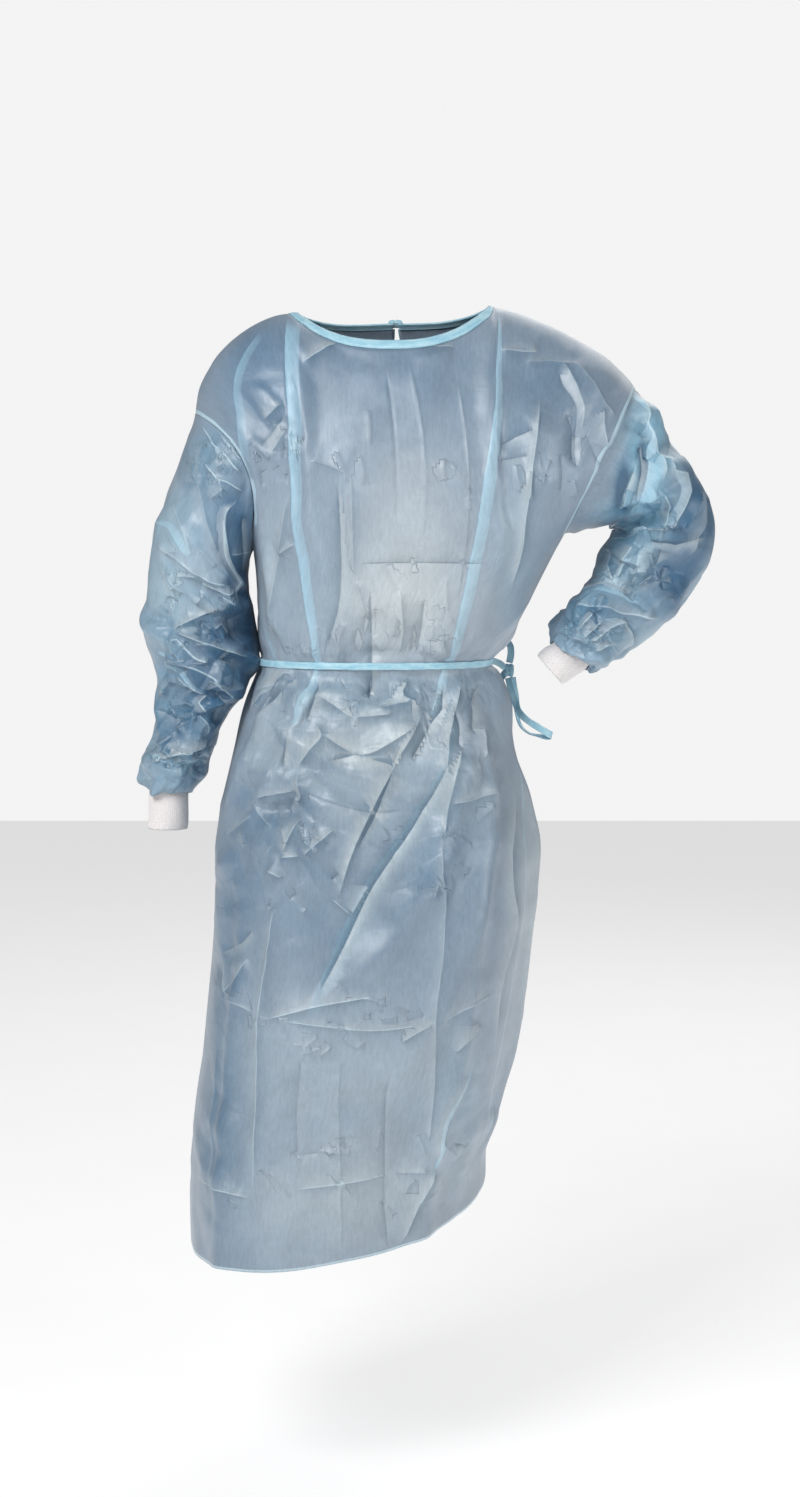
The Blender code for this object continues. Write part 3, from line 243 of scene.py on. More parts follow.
FRONT_CREASES = creases(
    (1.6, 6, 26, 0.25, 1, -48, 207, -47, 262, -46, 331), (1.2, 5, 14, -0.2, 1, -98, 189, -72, 196, -50, 207),
    (-1, 5, 5, -0.55, 1, -43, 310, 30, 309, 121, 311),
    (-2.4, 12, 8, -0.35, 1, -26, 331, -24, 429, -26, 454, -47, 467),
    (-2.6, 9, 16, -0.3, 1, -64, 207, -62, 345, -84, 427), (1.6, 6, 12, 0.2, 1, -43, 331, -29, 380),
    (-1.6, 6, 6, -0.5, 1, 127, 172, 148, 160, 169, 151), (-1.2, 5, 6, -0.4, 1, 124, 189, 162, 182),
    (2.6, 7, 20, 0.45, 1, 177, 112, 166, 193, 143, 347), (2, 8, 14, 0.25, 1, -153, 140, -130, 120),
    (-2, 8, 10, -0.25, 1, -155, 172, -127, 134), (1.8, 8, 12, 0.2, 1, -148, 189, -123, 147),
    (2.4, 8, 16, 0.7, 1, -108, 72, -85, 60, -65, 45), (2.4, 14, 7, 0.6, 1, 27, 47, 52, 51, 76, 53),
    (2, 8, 12, 0.5, 1, 128, 56, 178, 60), (1.8, 6, 18, 0.25, 1, -121, 224, -139, 332, -152, 401),
    (1.4, 6, 12, 0.2, 1, -147, 361, -122, 424), (1, 5, 9, 0.2, 1, -135, 301, -113, 286),
    (0.8, 10, 20, 0.15, 0.25, 20, 70, 36, 150, 40, 230, 34, 300),
    (-0.4, 16, 10, -0.1, 0.25, -6, 80, 4, 170, 6, 270),
    (0.8, 14, 9, 0.15, 0.25, 78, 90, 90, 180, 88, 280, 78, 360),
    (-2.2, 8, 7, -0.2, 1, 199, 68, 205, 94, 220, 122, 221, 153, 220, 206),
    (2.4, 7, 7, 0.35, 1, 205, 69, 220, 100, 229, 125, 228, 153),
    (2.6, 7, 10, 0.25, 1, 213, 66, 241, 100, 257, 125, 270, 138),
    (2, 6, 7, 0.4, 1, 251, 125, 253, 153, 256, 175), (-2, 7, 7, -0.25, 1, 232, 153, 243, 181, 251, 194),
    (-1.8, 5, 6, -0.35, 1, 217, 153, 217, 194), (1.4, 7, 8, 0.2, 1, 157, 71, 188, 68, 219, 72),
    (1.8, 8, 10, 0.25, 1, 10, 340, 14, 390, 10, 424), (-1.8, 8, 8, -0.25, 1, 40, 350, 36, 395, 30, 424),
    (2.4, 5, 9, 0.45, 1, -116, 440, -140, 449, -177, 491), (2, 5, 8, 0.35, 1, -122, 441, -170, 470),
    (-1.8, 6, 6, -0.35, 1, -114, 442, -172, 500), (-2.4, 6, 8, -0.15, 1, -90, 444, -90, 468, -101, 499),
    (3, 6, 16, 0.15, 1, -96, 459, -48, 491, -1, 488, -3, 475),
    (3.2, 6, 12, 0.12, 1, -90, 497, -74, 517, -34, 535, 5, 518, 41, 493),
    (-3.4, 7, 9, -0.75, 1, 63, 451, 63, 482, 45, 508, 23, 548),
    (2.8, 9, 7, 0.35, 1, 45, 477, 5, 548, -43, 642, -66, 714),
    (3, 10, 6, 0.35, 1, 85, 446, 78, 482, 67, 530, 65, 579), (-2.6, 6, 7, -0.5, 1, 76, 477, 85, 508, 83, 535),
    (-2.4, 7, 8, -0.45, 1, 113, 451, 104, 480, 100, 520), (2.4, 8, 6, 0.3, 1, 112, 504, 110, 548),
    (-2.2, 5, 10, -0.2, 1, -125, 504, -130, 548, -123, 555),
    (2.6, 10, 5, 0.3, 1, -92, 497, -83, 513, -114, 553), (2.2, 8, 6, 0.3, 1, 41, 493, 47, 530, 81, 533),
    (-2.8, 12, 9, -0.1, 1, -79, 544, -43, 535, 5, 548, 23, 530),
    (2, 7, 9, 0.3, 1, -176, 591, -159, 611, -139, 624), (2.2, 6, 8, 0.35, 1, -110, 562, -108, 588, -121, 593),
    (-2.2, 5, 5, -0.45, 1, -26, 442, -26, 457, -28, 464),
    (2.6, 8, 6, 0.25, 1, 23, 442, 12, 464, 25, 473, -21, 479),
    (-2.6, 10, 12, -0.55, 1, 13, 519, -11, 589, -42, 650),
    (-4.2, 24, 18, -0.15, 1, 80, 525, 36, 609, -19, 686, -50, 747, -93, 830),
    (2.8, 10, 22, 0.35, 1, 84, 521, 68, 598, 64, 641), (1.8, 7, 12, 0.35, 1, 68, 596, 134, 585),
    (1.6, 7, 12, 0.35, 1, -170, 591, -113, 578), (-1.4, 7, 8, -0.25, 1, -113, 578, -34, 602, 25, 601),
    (2, 6, 9, 0.6, 1, -145, 673, -125, 683), (1.8, 6, 9, 0.55, 1, -107, 655, -129, 658),
    (2, 8, 8, 0.55, 1, -127, 654, -118, 632, -105, 609), (2, 7, 9, 0.5, 1, -66, 621, -105, 657),
    (1.8, 7, 8, 0.55, 1, -70, 705, -48, 724), (1.8, 7, 8, 0.5, 1, -48, 724, -26, 686),
    (2.2, 8, 24, 0.35, 1, 160, 565, 142, 686, 147, 754, 128, 833, 125, 916),
    (-1.8, 8, 10, -0.3, 1, -209, 783, -165, 745), (1.8, 8, 10, 0.45, 1, -209, 783, -199, 825, -171, 777),
    (1.6, 7, 9, 0.3, 1, -205, 642, -170, 612),
    (1.4, 5, 26, 0.45, 1, -135, 688, -155, 833, -159, 929, -163, 1055),
    (1.4, 6, 28, 0.3, 1, 60, 598, 62, 756, 50, 854, 49, 937, 41, 1036),
    (1.2, 6, 9, 0.35, 1, -199, 829, -155, 844), (1.6, 5, 12, 0.75, 1, -153, 850, -85, 830, -11, 817),
    (1.4, 5, 12, 0.65, 1, -132, 848, -26, 860, 52, 854), (1.2, 6, 10, 0.5, 1, 52, 852, 122, 831),
    (1.6, 6, 12, 0.4, 1, 9, 877, 48, 854), (1.6, 6, 12, 0.4, 1, 71, 896, 107, 865),
    (1.4, 5, 12, 0.65, 1, -240, 1046, -165, 1055), (1.4, 5, 12, 0.7, 1, -116, 1044, 5, 1035),
    (1.2, 5, 10, 0.45, 1, 5, 1035, 45, 1041), (2, 7, 14, 0.6, 1, 9, 1123, 37, 1072, 53, 1039),
    (2.4, 9, 12, 0.3, 1, 95, 922, 65, 981, 53, 1039), (2.4, 10, 14, 0.4, 1, 125, 989, 113, 1032, 82, 1071),
    (-2.4, 14, 14, -0.1, 0.25, -105, 880, -112, 960, -108, 1030),
    (2.4, 14, 18, 0.15, 0.25, -60, 880, -64, 960, -60, 1130),
    (-2.2, 12, 12, -0.15, 0.25, 0, 900, -6, 970, -4, 1130),
    (2, 10, 14, 0.2, 0.25, -205, 880, -212, 970, -214, 1130))

BACK_CREASES = creases(
    (1.6, 6, 24, 0.3, 1, -70, 110, -72, 200, -68, 330), (1.4, 24, 6, 0.3, 1, 88, 100, 90, 210, 82, 340),
    (-1.2, 6, 6, -0.4, 1, -120, 235, 0, 238, 120, 232),
    (-2.4, 12, 9, -0.25, 1, -150, 150, -140, 230, -110, 330, -90, 420),
    (2.4, 9, 14, 0.3, 1, 160, 140, 140, 240, 110, 340, 80, 420),
    (-2, 9, 9, -0.2, 1, 190, 150, 176, 230, 150, 320), (2, 8, 12, 0.5, 1, -160, 70, -120, 60, -85, 48),
    (2, 12, 8, 0.5, 1, 90, 50, 140, 66, 190, 76), (2.2, 8, 12, 0.3, 1, -40, 290, -36, 360, -30, 424),
    (-2.2, 8, 8, -0.3, 1, 20, 300, 24, 370, 20, 424), (2.2, 6, 10, 0.5, 1, -110, 442, -140, 470, -165, 510),
    (2.2, 10, 6, 0.5, 1, 60, 442, 90, 475, 118, 520), (-2.4, 8, 8, -0.45, 1, -60, 442, -76, 490, -80, 540),
    (-2.4, 8, 8, -0.45, 1, 20, 442, 26, 490, 34, 560),
    (-3.8, 22, 18, -0.15, 1, -60, 520, -20, 620, 30, 720, 60, 820),
    (2.6, 12, 20, 0.3, 1, -110, 520, -90, 640, -60, 760),
    (1.4, 6, 26, 0.35, 1, -130, 690, -140, 840, -146, 1060),
    (1.4, 26, 6, 0.35, 1, 100, 640, 96, 800, 80, 1040),
    (1.6, 5, 12, 0.65, 1, -190, 846, -60, 834, 20, 842, 140, 830),
    (1.4, 5, 12, 0.6, 1, -200, 1040, -40, 1046, 110, 1036),
    (1.8, 8, 8, 0.5, 1, -120, 600, -84, 622, -110, 664), (1.8, 8, 8, 0.5, 1, 50, 690, 80, 724, 104, 690),
    (2.2, 12, 16, 0.2, 0.25, -20, 880, -28, 990, -20, 1130),
    (-2.4, 14, 14, -0.2, 0.25, 30, 870, 24, 980, 20, 1130))

# The same for the sleeves: from the front, and from the back
SLEEVE_FRONT = {
    "right": creases(
        (1.8, 5, 9, 0.85, 1, -234, 142, -214, 166, -196, 182, -177, 206),
        (1.6, 5, 8, 0.6, 1, -207, 155, -192, 173, -177, 190),
        (2.2, 6, 10, 0.75, 1, -221, 188, -204, 210, -194, 213, -176, 226),
        (2.6, 6, 12, 0.6, 1, -182, 232, -199, 252, -199, 299, -190, 326, -192, 342, -200, 360),
        (1.2, 4, 6, 0.7, 1, -197, 298, -170, 296), (1.8, 8, 16, 0.15, 1, -228, 154, -224, 237, -209, 305),
        (1.8, 9, 16, 0.3, 1, -267, 232, -247, 274, -237, 305),
        (2.6, 6, 14, 0.6, 1, -286, 286, -255, 305, -231, 323, -196, 341),
        (1.8, 7, 12, 0.4, 1, -282, 311, -263, 342, -267, 380),
        (2.2, 6, 9, 0.7, 1, -233, 332, -206, 345, -194, 342), (2, 6, 8, 0.65, 1, -215, 346, -200, 360),
        (2.8, 6, 12, 0.55, 1, -209, 360, -240, 379, -265, 394),
        (-2.2, 7, 8, -0.3, 1, -265, 392, -240, 388, -218, 393),
        (2, 6, 9, 0.6, 1, -218, 393, -207, 384, -197, 399),
        (2.8, 6, 9, 0.75, 1, -265, 394, -225, 410, -182, 427),
        (2.4, 5, 9, 0.75, 1, -274, 405, -259, 405, -237, 425, -219, 437),
        (2.4, 5, 9, 0.7, 1, -265, 427, -240, 441, -219, 447, -204, 473),
        (2, 5, 8, 0.55, 1, -262, 447, -244, 459, -227, 467),
        (2.4, 6, 9, 0.8, 1, -227, 466, -235, 478, -227, 490),
        (2.2, 6, 8, 0.6, 1, -236, 494, -227, 512, -227, 522),
        (-2.2, 8, 8, -0.3, 1, -288, 490, -267, 497, -242, 499),
        (2.8, 8, 10, 0.6, 1, -294, 556, -257, 540, -222, 525), (2, 6, 8, 0.55, 1, -257, 547, -224, 543),
        (-2.4, 8, 9, -0.45, 1, -180, 250, -183, 290, -184, 330),
        (-2.6, 9, 9, -0.4, 1, -205, 372, -196, 385, -188, 410),
        (-2.2, 8, 8, -0.35, 1, -222, 455, -212, 480, -222, 508)),
    "left": creases(
        (2.6, 6, 10, 0.8, 1.4, 300, 112, 309, 144, 327, 180, 330, 215),
        (-1.4, 5, 7, -0.8, 2.4, 294, 196, 281, 230, 278, 258),
        (-1.4, 4, 6, -0.8, 2.4, 305, 160, 303, 200, 295, 246),
        (2.4, 7, 12, 0.6, 1, 332, 179, 337, 200, 355, 205, 360, 225, 343, 266, 330, 277),
        (2.2, 6, 9, 0.7, 1, 329, 225, 340, 243, 334, 272),
        (2.8, 6, 10, 0.75, 1, 256, 287, 276, 285, 306, 279, 342, 272),
        (-2.6, 7, 9, -0.6, 1, 308, 283, 349, 290, 384, 277),
        (2.2, 6, 9, 0.6, 1, 278, 292, 269, 317, 275, 342),
        (3, 8, 9, 0.9, 1, 306, 286, 284, 322, 275, 344), (2.6, 7, 9, 0.65, 1, 228, 348, 260, 344, 296, 353),
        (2.4, 6, 8, 0.7, 1, 232, 353, 226, 364, 259, 370, 292, 372, 328, 379),
        (-2, 6, 8, -0.45, 1, 330, 294, 325, 314), (-1.8, 7, 8, -0.3, 1, 287, 332, 313, 335, 354, 330),
        (2, 5, 6, 0.75, 1, 209, 391, 213, 372), (2, 5, 6, 0.65, 1, 221, 397, 235, 385, 249, 375),
        (2.2, 5, 6, 0.65, 1, 231, 403, 245, 392, 259, 382), (2, 5, 6, 0.6, 1, 236, 410, 265, 390, 285, 382),
        (2, 5, 6, 0.55, 1, 242, 416, 275, 403), (2.2, 7, 8, 0.45, 1, 274, 372, 288, 393, 292, 408, 266, 422),
        (2, 8, 10, 0.25, 1, 372, 225, 380, 262, 366, 305)),
}
SLEEVE_BACK = {
    "right": creases(
        (2.2, 7, 12, 0.5, 1, -236, 170, -212, 196, -186, 220),
        (2.4, 8, 12, 0.45, 1, -272, 240, -240, 270, -196, 286),
        (-2.6, 9, 9, -0.4, 1, -280, 300, -240, 316, -190, 320),
        (2.8, 6, 10, 0.65, 1, -296, 350, -250, 372, -200, 366),
        (2.4, 6, 10, 0.6, 1, -290, 400, -250, 392, -210, 410),
        (-2.4, 8, 8, -0.4, 1, -280, 430, -250, 444, -214, 440),
        (2.4, 6, 9, 0.6, 1, -280, 480, -250, 466, -222, 476),
        (2.4, 7, 9, 0.55, 1, -290, 530, -262, 518, -232, 530)),
    "left": creases(
        (2.4, 8, 12, 0.5, 1, 310, 130, 322, 170, 318, 220),
        (-2.6, 8, 9, -0.45, 1, 290, 170, 296, 210, 280, 246),
        (2.6, 7, 12, 0.6, 1, 260, 272, 310, 262, 360, 250),
        (-2.6, 8, 9, -0.5, 1, 300, 290, 344, 286, 386, 270),
        (2.6, 7, 10, 0.6, 1, 290, 316, 330, 330, 360, 322),
        (2.4, 6, 9, 0.55, 1, 240, 356, 280, 362, 320, 374),
        (2.2, 6, 8, 0.5, 1, 232, 396, 262, 386, 292, 394)),
}

# Small creases strewn over a place: the place and its reach, how long and how many they are, which
# way they run in degrees from level and how far they stray, their height and how pale they are, as
# painted highlight on their crests and painted shade in their troughs
Strew = namedtuple("Strew", "x drop reach_x reach_drop length count heading stray height shade")
FRONT_STREWN = rows(Strew, 5,
    (-140, 170, 30, 70, 24, 9, 60, 30, 1, 0.35), (190, 190, 50, 60, 30, 7, 80, 14, 1.2, 0.4),
    (-20, 400, 120, 26, 30, 18, 85, 14, 1.2, 0.35), (-20, 468, 130, 30, 30, 12, 75, 30, 1.2, 0.4),
    (-120, 660, 60, 70, 22, 14, 40, 60, 1.2, 0.45), (60, 620, 70, 90, 26, 10, -50, 50, 1.1, 0.35),
    (-50, 850, 160, 40, 26, 16, 5, 30, 0.9, 0.45), (-60, 1040, 150, 60, 28, 14, 20, 60, 0.9, 0.4),
    (20, 240, 100, 140, 34, 10, 84, 10, 0.7, 0.25))
BACK_STREWN = rows(Strew, 5,
    (-120, 180, 60, 80, 26, 12, 65, 35, 1.2, 0.4), (150, 180, 70, 80, 26, 14, -65, 35, 1.2, 0.4),
    (-20, 396, 120, 26, 30, 18, 85, 14, 1.2, 0.35), (-20, 470, 130, 34, 34, 26, 82, 30, 1.5, 0.45),
    (0, 640, 140, 110, 26, 22, 40, 60, 1.1, 0.4), (-20, 850, 170, 50, 26, 16, 5, 35, 0.9, 0.45),
    (-40, 1040, 160, 60, 28, 14, 15, 60, 0.9, 0.4))
SLEEVE_STREWN = {
    "right": rows(Strew, 5,
        (-215, 200, 30, 40, 22, 10, -50, 30, 1.2, 0.5), (-240, 340, 45, 50, 24, 14, -20, 50, 1.3, 0.45),
        (-240, 450, 45, 60, 26, 26, -25, 40, 1.5, 0.5), (-265, 550, 40, 30, 18, 22, 60, 50, 1.4, 0.5)),
    "left": rows(Strew, 5,
        (325, 150, 20, 40, 22, 7, -70, 30, 1.4, 0.5), (320, 250, 45, 35, 24, 16, -30, 60, 1.5, 0.5),
        (300, 330, 50, 35, 26, 16, 10, 50, 1.4, 0.45), (240, 390, 40, 30, 20, 26, 45, 40, 1.5, 0.55)),
}

# Tucks and taped seams that read as bands of doubled cloth: how far the band stands out in mm, how
# much bluer or paler it is, and the places it runs through with its width in mm there
Band = namedtuple("Band", "height cyan pale path")
Stop = namedtuple("Stop", "x drop width")


def bands(*table):
    """Bands from rows of height, cyan, pale and the stops x, drop, width ... in mm."""
    return [Band(*row[:3], [Stop(x / 1000, drop / 1000, width)
                            for x, drop, width in zip(row[3::3], row[4::3], row[5::3])])
            for row in table]


FRONT_BANDS = bands(
    (1.8, 0.62, 0.2, -119, 14, 17, -119, 67, 17, -115, 137, 15, -113, 207, 13, -106, 290, 11, -86, 437, 8),
    (1.8, 0.6, 0.3, 131, 4, 3, 126, 130, 8, 118, 200, 13, 106, 276, 15, 93, 345, 14, 68, 437, 10),
    (0.6, 0.35, 0.1, -154, 32, 8, -174, 65, 10, -184, 97, 11, -180, 136, 11, -173, 192, 11, -169, 241, 10,
     -166, 313, 9, -150, 402, 6, -132, 437, 5), (0.6, 0.45, 0.3, -85, 430, 7, -104, 466, 9, -122, 500, 6),
    (0.6, 0.45, 0.35, 67, 430, 9, 60, 465, 10, 54, 490, 7),
    (0.5, 0.6, 0.15, 95, 922, 5, 65, 981, 8, 53, 1039, 5),
    (0.8, 0.22, 0, 82, 490, 9, 66, 550, 14, 30, 620, 17, -22, 690, 19, -56, 760, 19, -96, 845, 14),
    (0.4, 0.2, 0.45, 155, 479, 2, 162, 577, 3, 159, 726, 3, 141, 864, 3, 122, 977, 3, 97, 1078, 2))
BACK_BANDS = bands(
    (1, 0.6, 0.25, -105, 60, 12, -100, 200, 12, -80, 424, 8),
    (1, 0.6, 0.25, 112, 60, 12, 104, 200, 12, 74, 424, 8))

SLEEVE_BANDS = {
    "right": bands(
        (0.6, 0.45, 0.55, -201, 255, 2, -202, 300, 4, -192, 330, 3, -200, 358, 2),
        (0.6, 0.55, 0.25, -290, 262, 4, -262, 268, 9, -240, 300, 5),
        (0.6, 0.6, 0.2, -288, 420, 4, -262, 436, 8, -236, 462, 4),
        (0.6, 0.55, 0.2, -292, 545, 4, -262, 552, 8, -232, 540, 4)),
    "left": bands(
        (1, 0.9, 0.15, 291, 96, 7, 302, 118, 10, 309, 134, 9, 314, 152, 7),
        (2.2, 0.85, 0.22, 318, 146, 9, 320, 193, 17, 311, 234, 18, 294, 262, 12),
        (2.2, 0.9, 0.25, 305, 176, 7, 288, 227, 12, 281, 252, 10),
        (0.8, 0.1, 0.6, 314, 206, 3, 312, 226, 11, 310, 240, 12),
        (0.8, 0.3, 0.25, 329, 182, 5, 344, 201, 10, 355, 219, 11, 346, 249, 9, 333, 267, 5),
        (0.8, 0.8, 0.1, 276, 264, 6, 296, 267, 13, 322, 270, 7),
        (0.9, 0.6, 0.45, 309, 286, 4, 293, 312, 6, 281, 327, 6, 274, 343, 4),
        (0.6, 0.1, 0.5, 318, 287, 10, 308, 315, 14, 306, 326, 8),
        (0.6, 0.6, 0.25, 212, 358, 5, 237, 350, 8, 272, 352, 7, 300, 360, 4)),
}

# Broad tones: where they are centred, how far they reach, and how much paler, deeper, bluer and
# more crumpled the cloth is there. Paler is painted light: sheen and light through the cloth.
# Deeper is layered cloth and painted shade.
Tone = namedtuple("Tone", "x drop reach_x reach_drop pale deep cyan crumple")
FRONT_TONES = rows(Tone, 4,
    (-10, 85, 130, 70, 0, 0.42, 0, 0.04), (195, 95, 70, 80, 0, 0.4, 0, 0.35),
    (-160, 80, 50, 90, 0, 0.55, 0.05, 0.15), (20, 230, 80, 70, 0.3, 0, 0, 0.05),
    (15, 350, 85, 75, 0.75, 0, 0, 0.1), (-85, 300, 22, 120, 0.1, 0.12, 0.1, 0),
    (150, 290, 30, 110, 0.1, 0.05, 0.15, 0), (-145, 330, 22, 90, 0.3, 0, 0.1, 0),
    (-20, 465, 160, 26, 0.1, 0.3, 0.15, 0.8), (-40, 540, 150, 70, 0.42, 0, 0.06, 0.75),
    (-130, 620, 60, 90, 0.05, 0.42, 0.05, 0.75), (50, 640, 70, 90, 0, 0.3, 0.1, 0.45),
    (-60, 740, 120, 70, 0.05, 0.26, 0.05, 0.15), (175, 720, 30, 230, 0.6, 0, 0.05, 0),
    (-60, 900, 150, 70, 0.3, 0.04, 0.06, 0.1), (-50, 1060, 160, 70, 0.4, 0, 0.05, 0.2),
    (90, 980, 40, 90, 0.05, 0.2, 0.15, 0.2), (-205, 760, 35, 180, 0, 0.5, 0.05, 0.35),
    (-210, 1000, 40, 120, 0, 0.5, 0.05, 0.25))
BACK_TONES = rows(Tone, 4,
    (0, 90, 120, 60, 0, 0.14, 0, 0.1), (180, 140, 70, 90, 0, 0.18, 0.05, 0.35),
    (-150, 140, 50, 100, 0, 0.14, 0.08, 0.3), (0, 300, 100, 100, 0.45, 0, 0, 0),
    (-20, 468, 160, 30, 0.1, 0.25, 0.2, 0.6), (-10, 640, 150, 100, 0.12, 0.14, 0.12, 0.3),
    (-40, 880, 160, 100, 0.28, 0.05, 0.08, 0.12), (-50, 1050, 160, 80, 0.36, 0, 0.05, 0.2))
# the deepest tones are painted shade in the sleeves' folds and on their inner sides by the body
SLEEVE_TONES = {
    "right": rows(Tone, 4,
        (-186, 290, 20, 70, 0, 1.3, 0.1, 0.2), (-186, 375, 26, 55, 0, 1.5, 0.1, 0.4),
        (-208, 450, 28, 55, 0, 1, 0.2, 0.6), (-265, 260, 35, 60, 0.12, 0, 0.2, 0),
        (-225, 240, 30, 50, 0, 0.2, 0.1, 0.1), (-270, 350, 28, 50, 0.4, 0, 0.1, 0.4),
        (-245, 430, 50, 50, 0.1, 0.6, 0.2, 0.8), (-255, 515, 45, 55, 0, 0.8, 0.35, 0.7),
        (-215, 180, 35, 35, 0, 0.35, 0.35, 0.5)),
    "left": rows(Tone, 4,
        (312, 180, 30, 65, 0, 0.05, 1.2, 0.3), (280, 225, 10, 34, 0, 1.6, 0.2, 0.1),
        (306, 196, 7, 36, 0, 1.2, 0.2, 0), (296, 262, 36, 26, 0.05, 0.1, 1, 0.65),
        (370, 255, 36, 80, 0, 1.15, 0, 0.15), (340, 340, 40, 50, 0, 0.8, 0.05, 0.35),
        (258, 315, 24, 24, 0, 0.45, 0.35, 0.2), (290, 320, 16, 28, 0.4, 0, 0.25, 0.3),
        (225, 370, 24, 24, 0.1, 0.3, 0.6, 0.5), (258, 390, 34, 28, 0, 0.6, 0.3, 0.6),
        (306, 408, 22, 20, 0.2, 0.05, 0.15, 0.1)),
}


# Shaping functions ----------------------------------------
def mix(low, high, share):
    return low + (high - low) * share


def smooth(share):
    share = np.clip(share, 0.0, 1.0)
    return share * share * (3.0 - 2.0 * share)


def rise(value, start, end):
    """Smooth step of a value from start to end."""
    return smooth((value - start) / (end - start))


def curve(knots, values, at):
    """Cubic through a table's values, with slopes from the neighbouring rows."""
    knots, values, at = np.asarray(knots), np.asarray(values), np.asarray(at, dtype=float)
    slopes = np.gradient(values, knots)
    at = np.clip(at, knots[0], knots[-1])
    low = np.clip(np.searchsorted(knots, at, side="right") - 1, 0, len(knots) - 2)
    span = knots[low + 1] - knots[low]
    t = (at - knots[low]) / span
    return ((2 * t**3 - 3 * t**2 + 1) * values[low] + (t**3 - 2 * t**2 + t) * span * slopes[low]
            + (3 * t**2 - 2 * t**3) * values[low + 1] + (t**3 - t**2) * span * slopes[low + 1])


def through(values, steps):
    """Smooth run through evenly spaced values, with this many steps between two of them."""
    last = len(values) - 1
    return curve(np.arange(len(values)), values, np.linspace(0, last, last * steps + 1))


def values_at(table, knots, at):
    """Each column of a table, between its rows."""
    return {name: curve(knots, [getattr(row, name) for row in table], at) for name in table[0]._fields}


def unit(vectors):
    return vectors / np.linalg.norm(vectors, axis=-1, keepdims=True)


def stack(x, y, z):
    return np.stack(np.broadcast_arrays(x, y, z), axis=-1).astype(float)


# Body: across runs from -1 (the wearer's right side seam) to 1, down from 0 at the shoulder
# line to 1 at the armpits and 2 at the hem ----------------
def ring(across, drop, back):
    """Point of the body ring that hangs `drop` below the origin."""
    row = values_at(BODY, [r.down for r in BODY], drop)
    angle = np.clip(across, -1.0, 1.0) * np.pi / 2
    power = 2.0 / RING_SQUARENESS
    side = np.sign(angle) * np.abs(np.sin(angle)) ** power
    depth = np.abs(np.cos(angle)) ** power
    share = (side + 1) / 2
    reach = (row["back"] if back else row["front"]) - (row["right_y"] + row["left_y"]) / 2
    x = mix(row["right"], row["left"], share)
    y = mix(row["right_y"], row["left_y"], share) + reach * depth
    z = -drop + row["lift"] * share ** 2
    return stack(x, y, z)


def shoulder_line(across):
    """Ridge from armhole to armhole, which passes unseen over the open neck."""
    across = np.asarray(across, dtype=float)
    line = np.zeros(across.shape + (3,))
    for shoulder in (RIGHT, LEFT):
        place = np.clip(across * shoulder.sign, 0.0, 1.0)
        inside = place / shoulder.neck_across
        outside = (place - shoulder.neck_across) / (1.0 - shoulder.neck_across)
        angle = np.clip(outside, 0.0, 1.0) * np.pi / 2
        power = 2.0 / shoulder.roundness
        outward = np.sin(angle) ** power
        fall = 1.0 - np.cos(angle) ** power
        x = np.where(inside < 1.0, shoulder.neck_x * inside,
                     mix(shoulder.neck_x, shoulder.tip_x, outward))
        z = np.where(inside < 1.0, mix(NAPE_RISE, shoulder.neck_z, smooth(inside)),
                     mix(shoulder.neck_z, shoulder.tip_z, fall))
        y = shoulder.tip_y * np.clip(outside, 0.0, 1.0)
        mine = np.sign(across) == shoulder.sign
        line = np.where(mine[..., None], stack(x, y, z), line)
    middle = np.asarray(across == 0)[..., None]
    return np.where(middle, np.array([0.0, 0.0, NAPE_RISE]), line)


def armhole_axis(name):
    """Middle of an armhole, half its height, and the direction from the body to the arm."""
    shoulder = ARMHOLES[name].shoulder
    top = np.array([shoulder.tip_x, shoulder.tip_y, shoulder.tip_z])
    under = ring(np.array(float(shoulder.sign)), np.array(ARMPIT_DOWN), False)
    half = (top - under) / 2
    return (top + under) / 2, half, unit(np.array([half[2], 0.0, -half[0]])) * shoulder.sign


def armhole(name, turn):
    """Point of the armhole seam; turn runs from the top (0) by the front to the underarm (0.5)."""
    hole = ARMHOLES[name]
    centre, half, to_arm = armhole_axis(name)
    angle = np.asarray(turn, dtype=float) * 2 * np.pi
    sine = np.sin(angle)
    reach = np.where(sine > 0, hole.front_reach, hole.back_reach)
    return (centre + half * np.cos(angle)[..., None]
            + stack(0.0, -reach * sine, 0.0) - to_arm * (hole.cut_in * sine**2)[..., None])


def yoke_share(down, back):
    """How far sideways, outwards and downwards a yoke point has gone."""
    angle = np.arccos(np.cos(np.clip(down, 0.0, 1.0) * np.pi / 2) ** 2)
    power = 2.0 / (BACK_YOKE_CURVE if back else FRONT_YOKE_CURVE)
    outward = np.sin(angle) ** power
    fall = 1.0 - np.cos(angle) ** power
    return stack(np.clip(down, 0.0, 1.0), outward, fall)


def plain_body(across, down, back):
    """Smooth body surface, before its folds."""
    across, down = np.broadcast_arrays(np.asarray(across, float), np.asarray(down, float))
    drop = mix(ARMPIT_DOWN, HEM_DOWN, np.clip(down - 1.0, 0.0, 1.0))
    top, low = shoulder_line(across), ring(across, drop, back)
    share = yoke_share(down, back)
    point = mix(top, low, share)
    for name, hole in ARMHOLES.items():
        sign = hole.shoulder.sign
        edge = np.full(across.shape, float(sign))
        edge_top = shoulder_line(edge)
        edge_low = ring(edge, np.full(across.shape, ARMPIT_DOWN), back)
        turn = np.clip(down, 0.0, 1.0) / 2
        seam = armhole(name, 1.0 - turn if back else turn)
        outward = np.clip(across * sign, 0.0, 1.0)
        sideways = np.sin(outward * np.pi / 2) ** 3
        pull = stack(sideways, outward**2, outward**2)
        point = point + pull * (seam - mix(edge_top, edge_low, share))
    return point


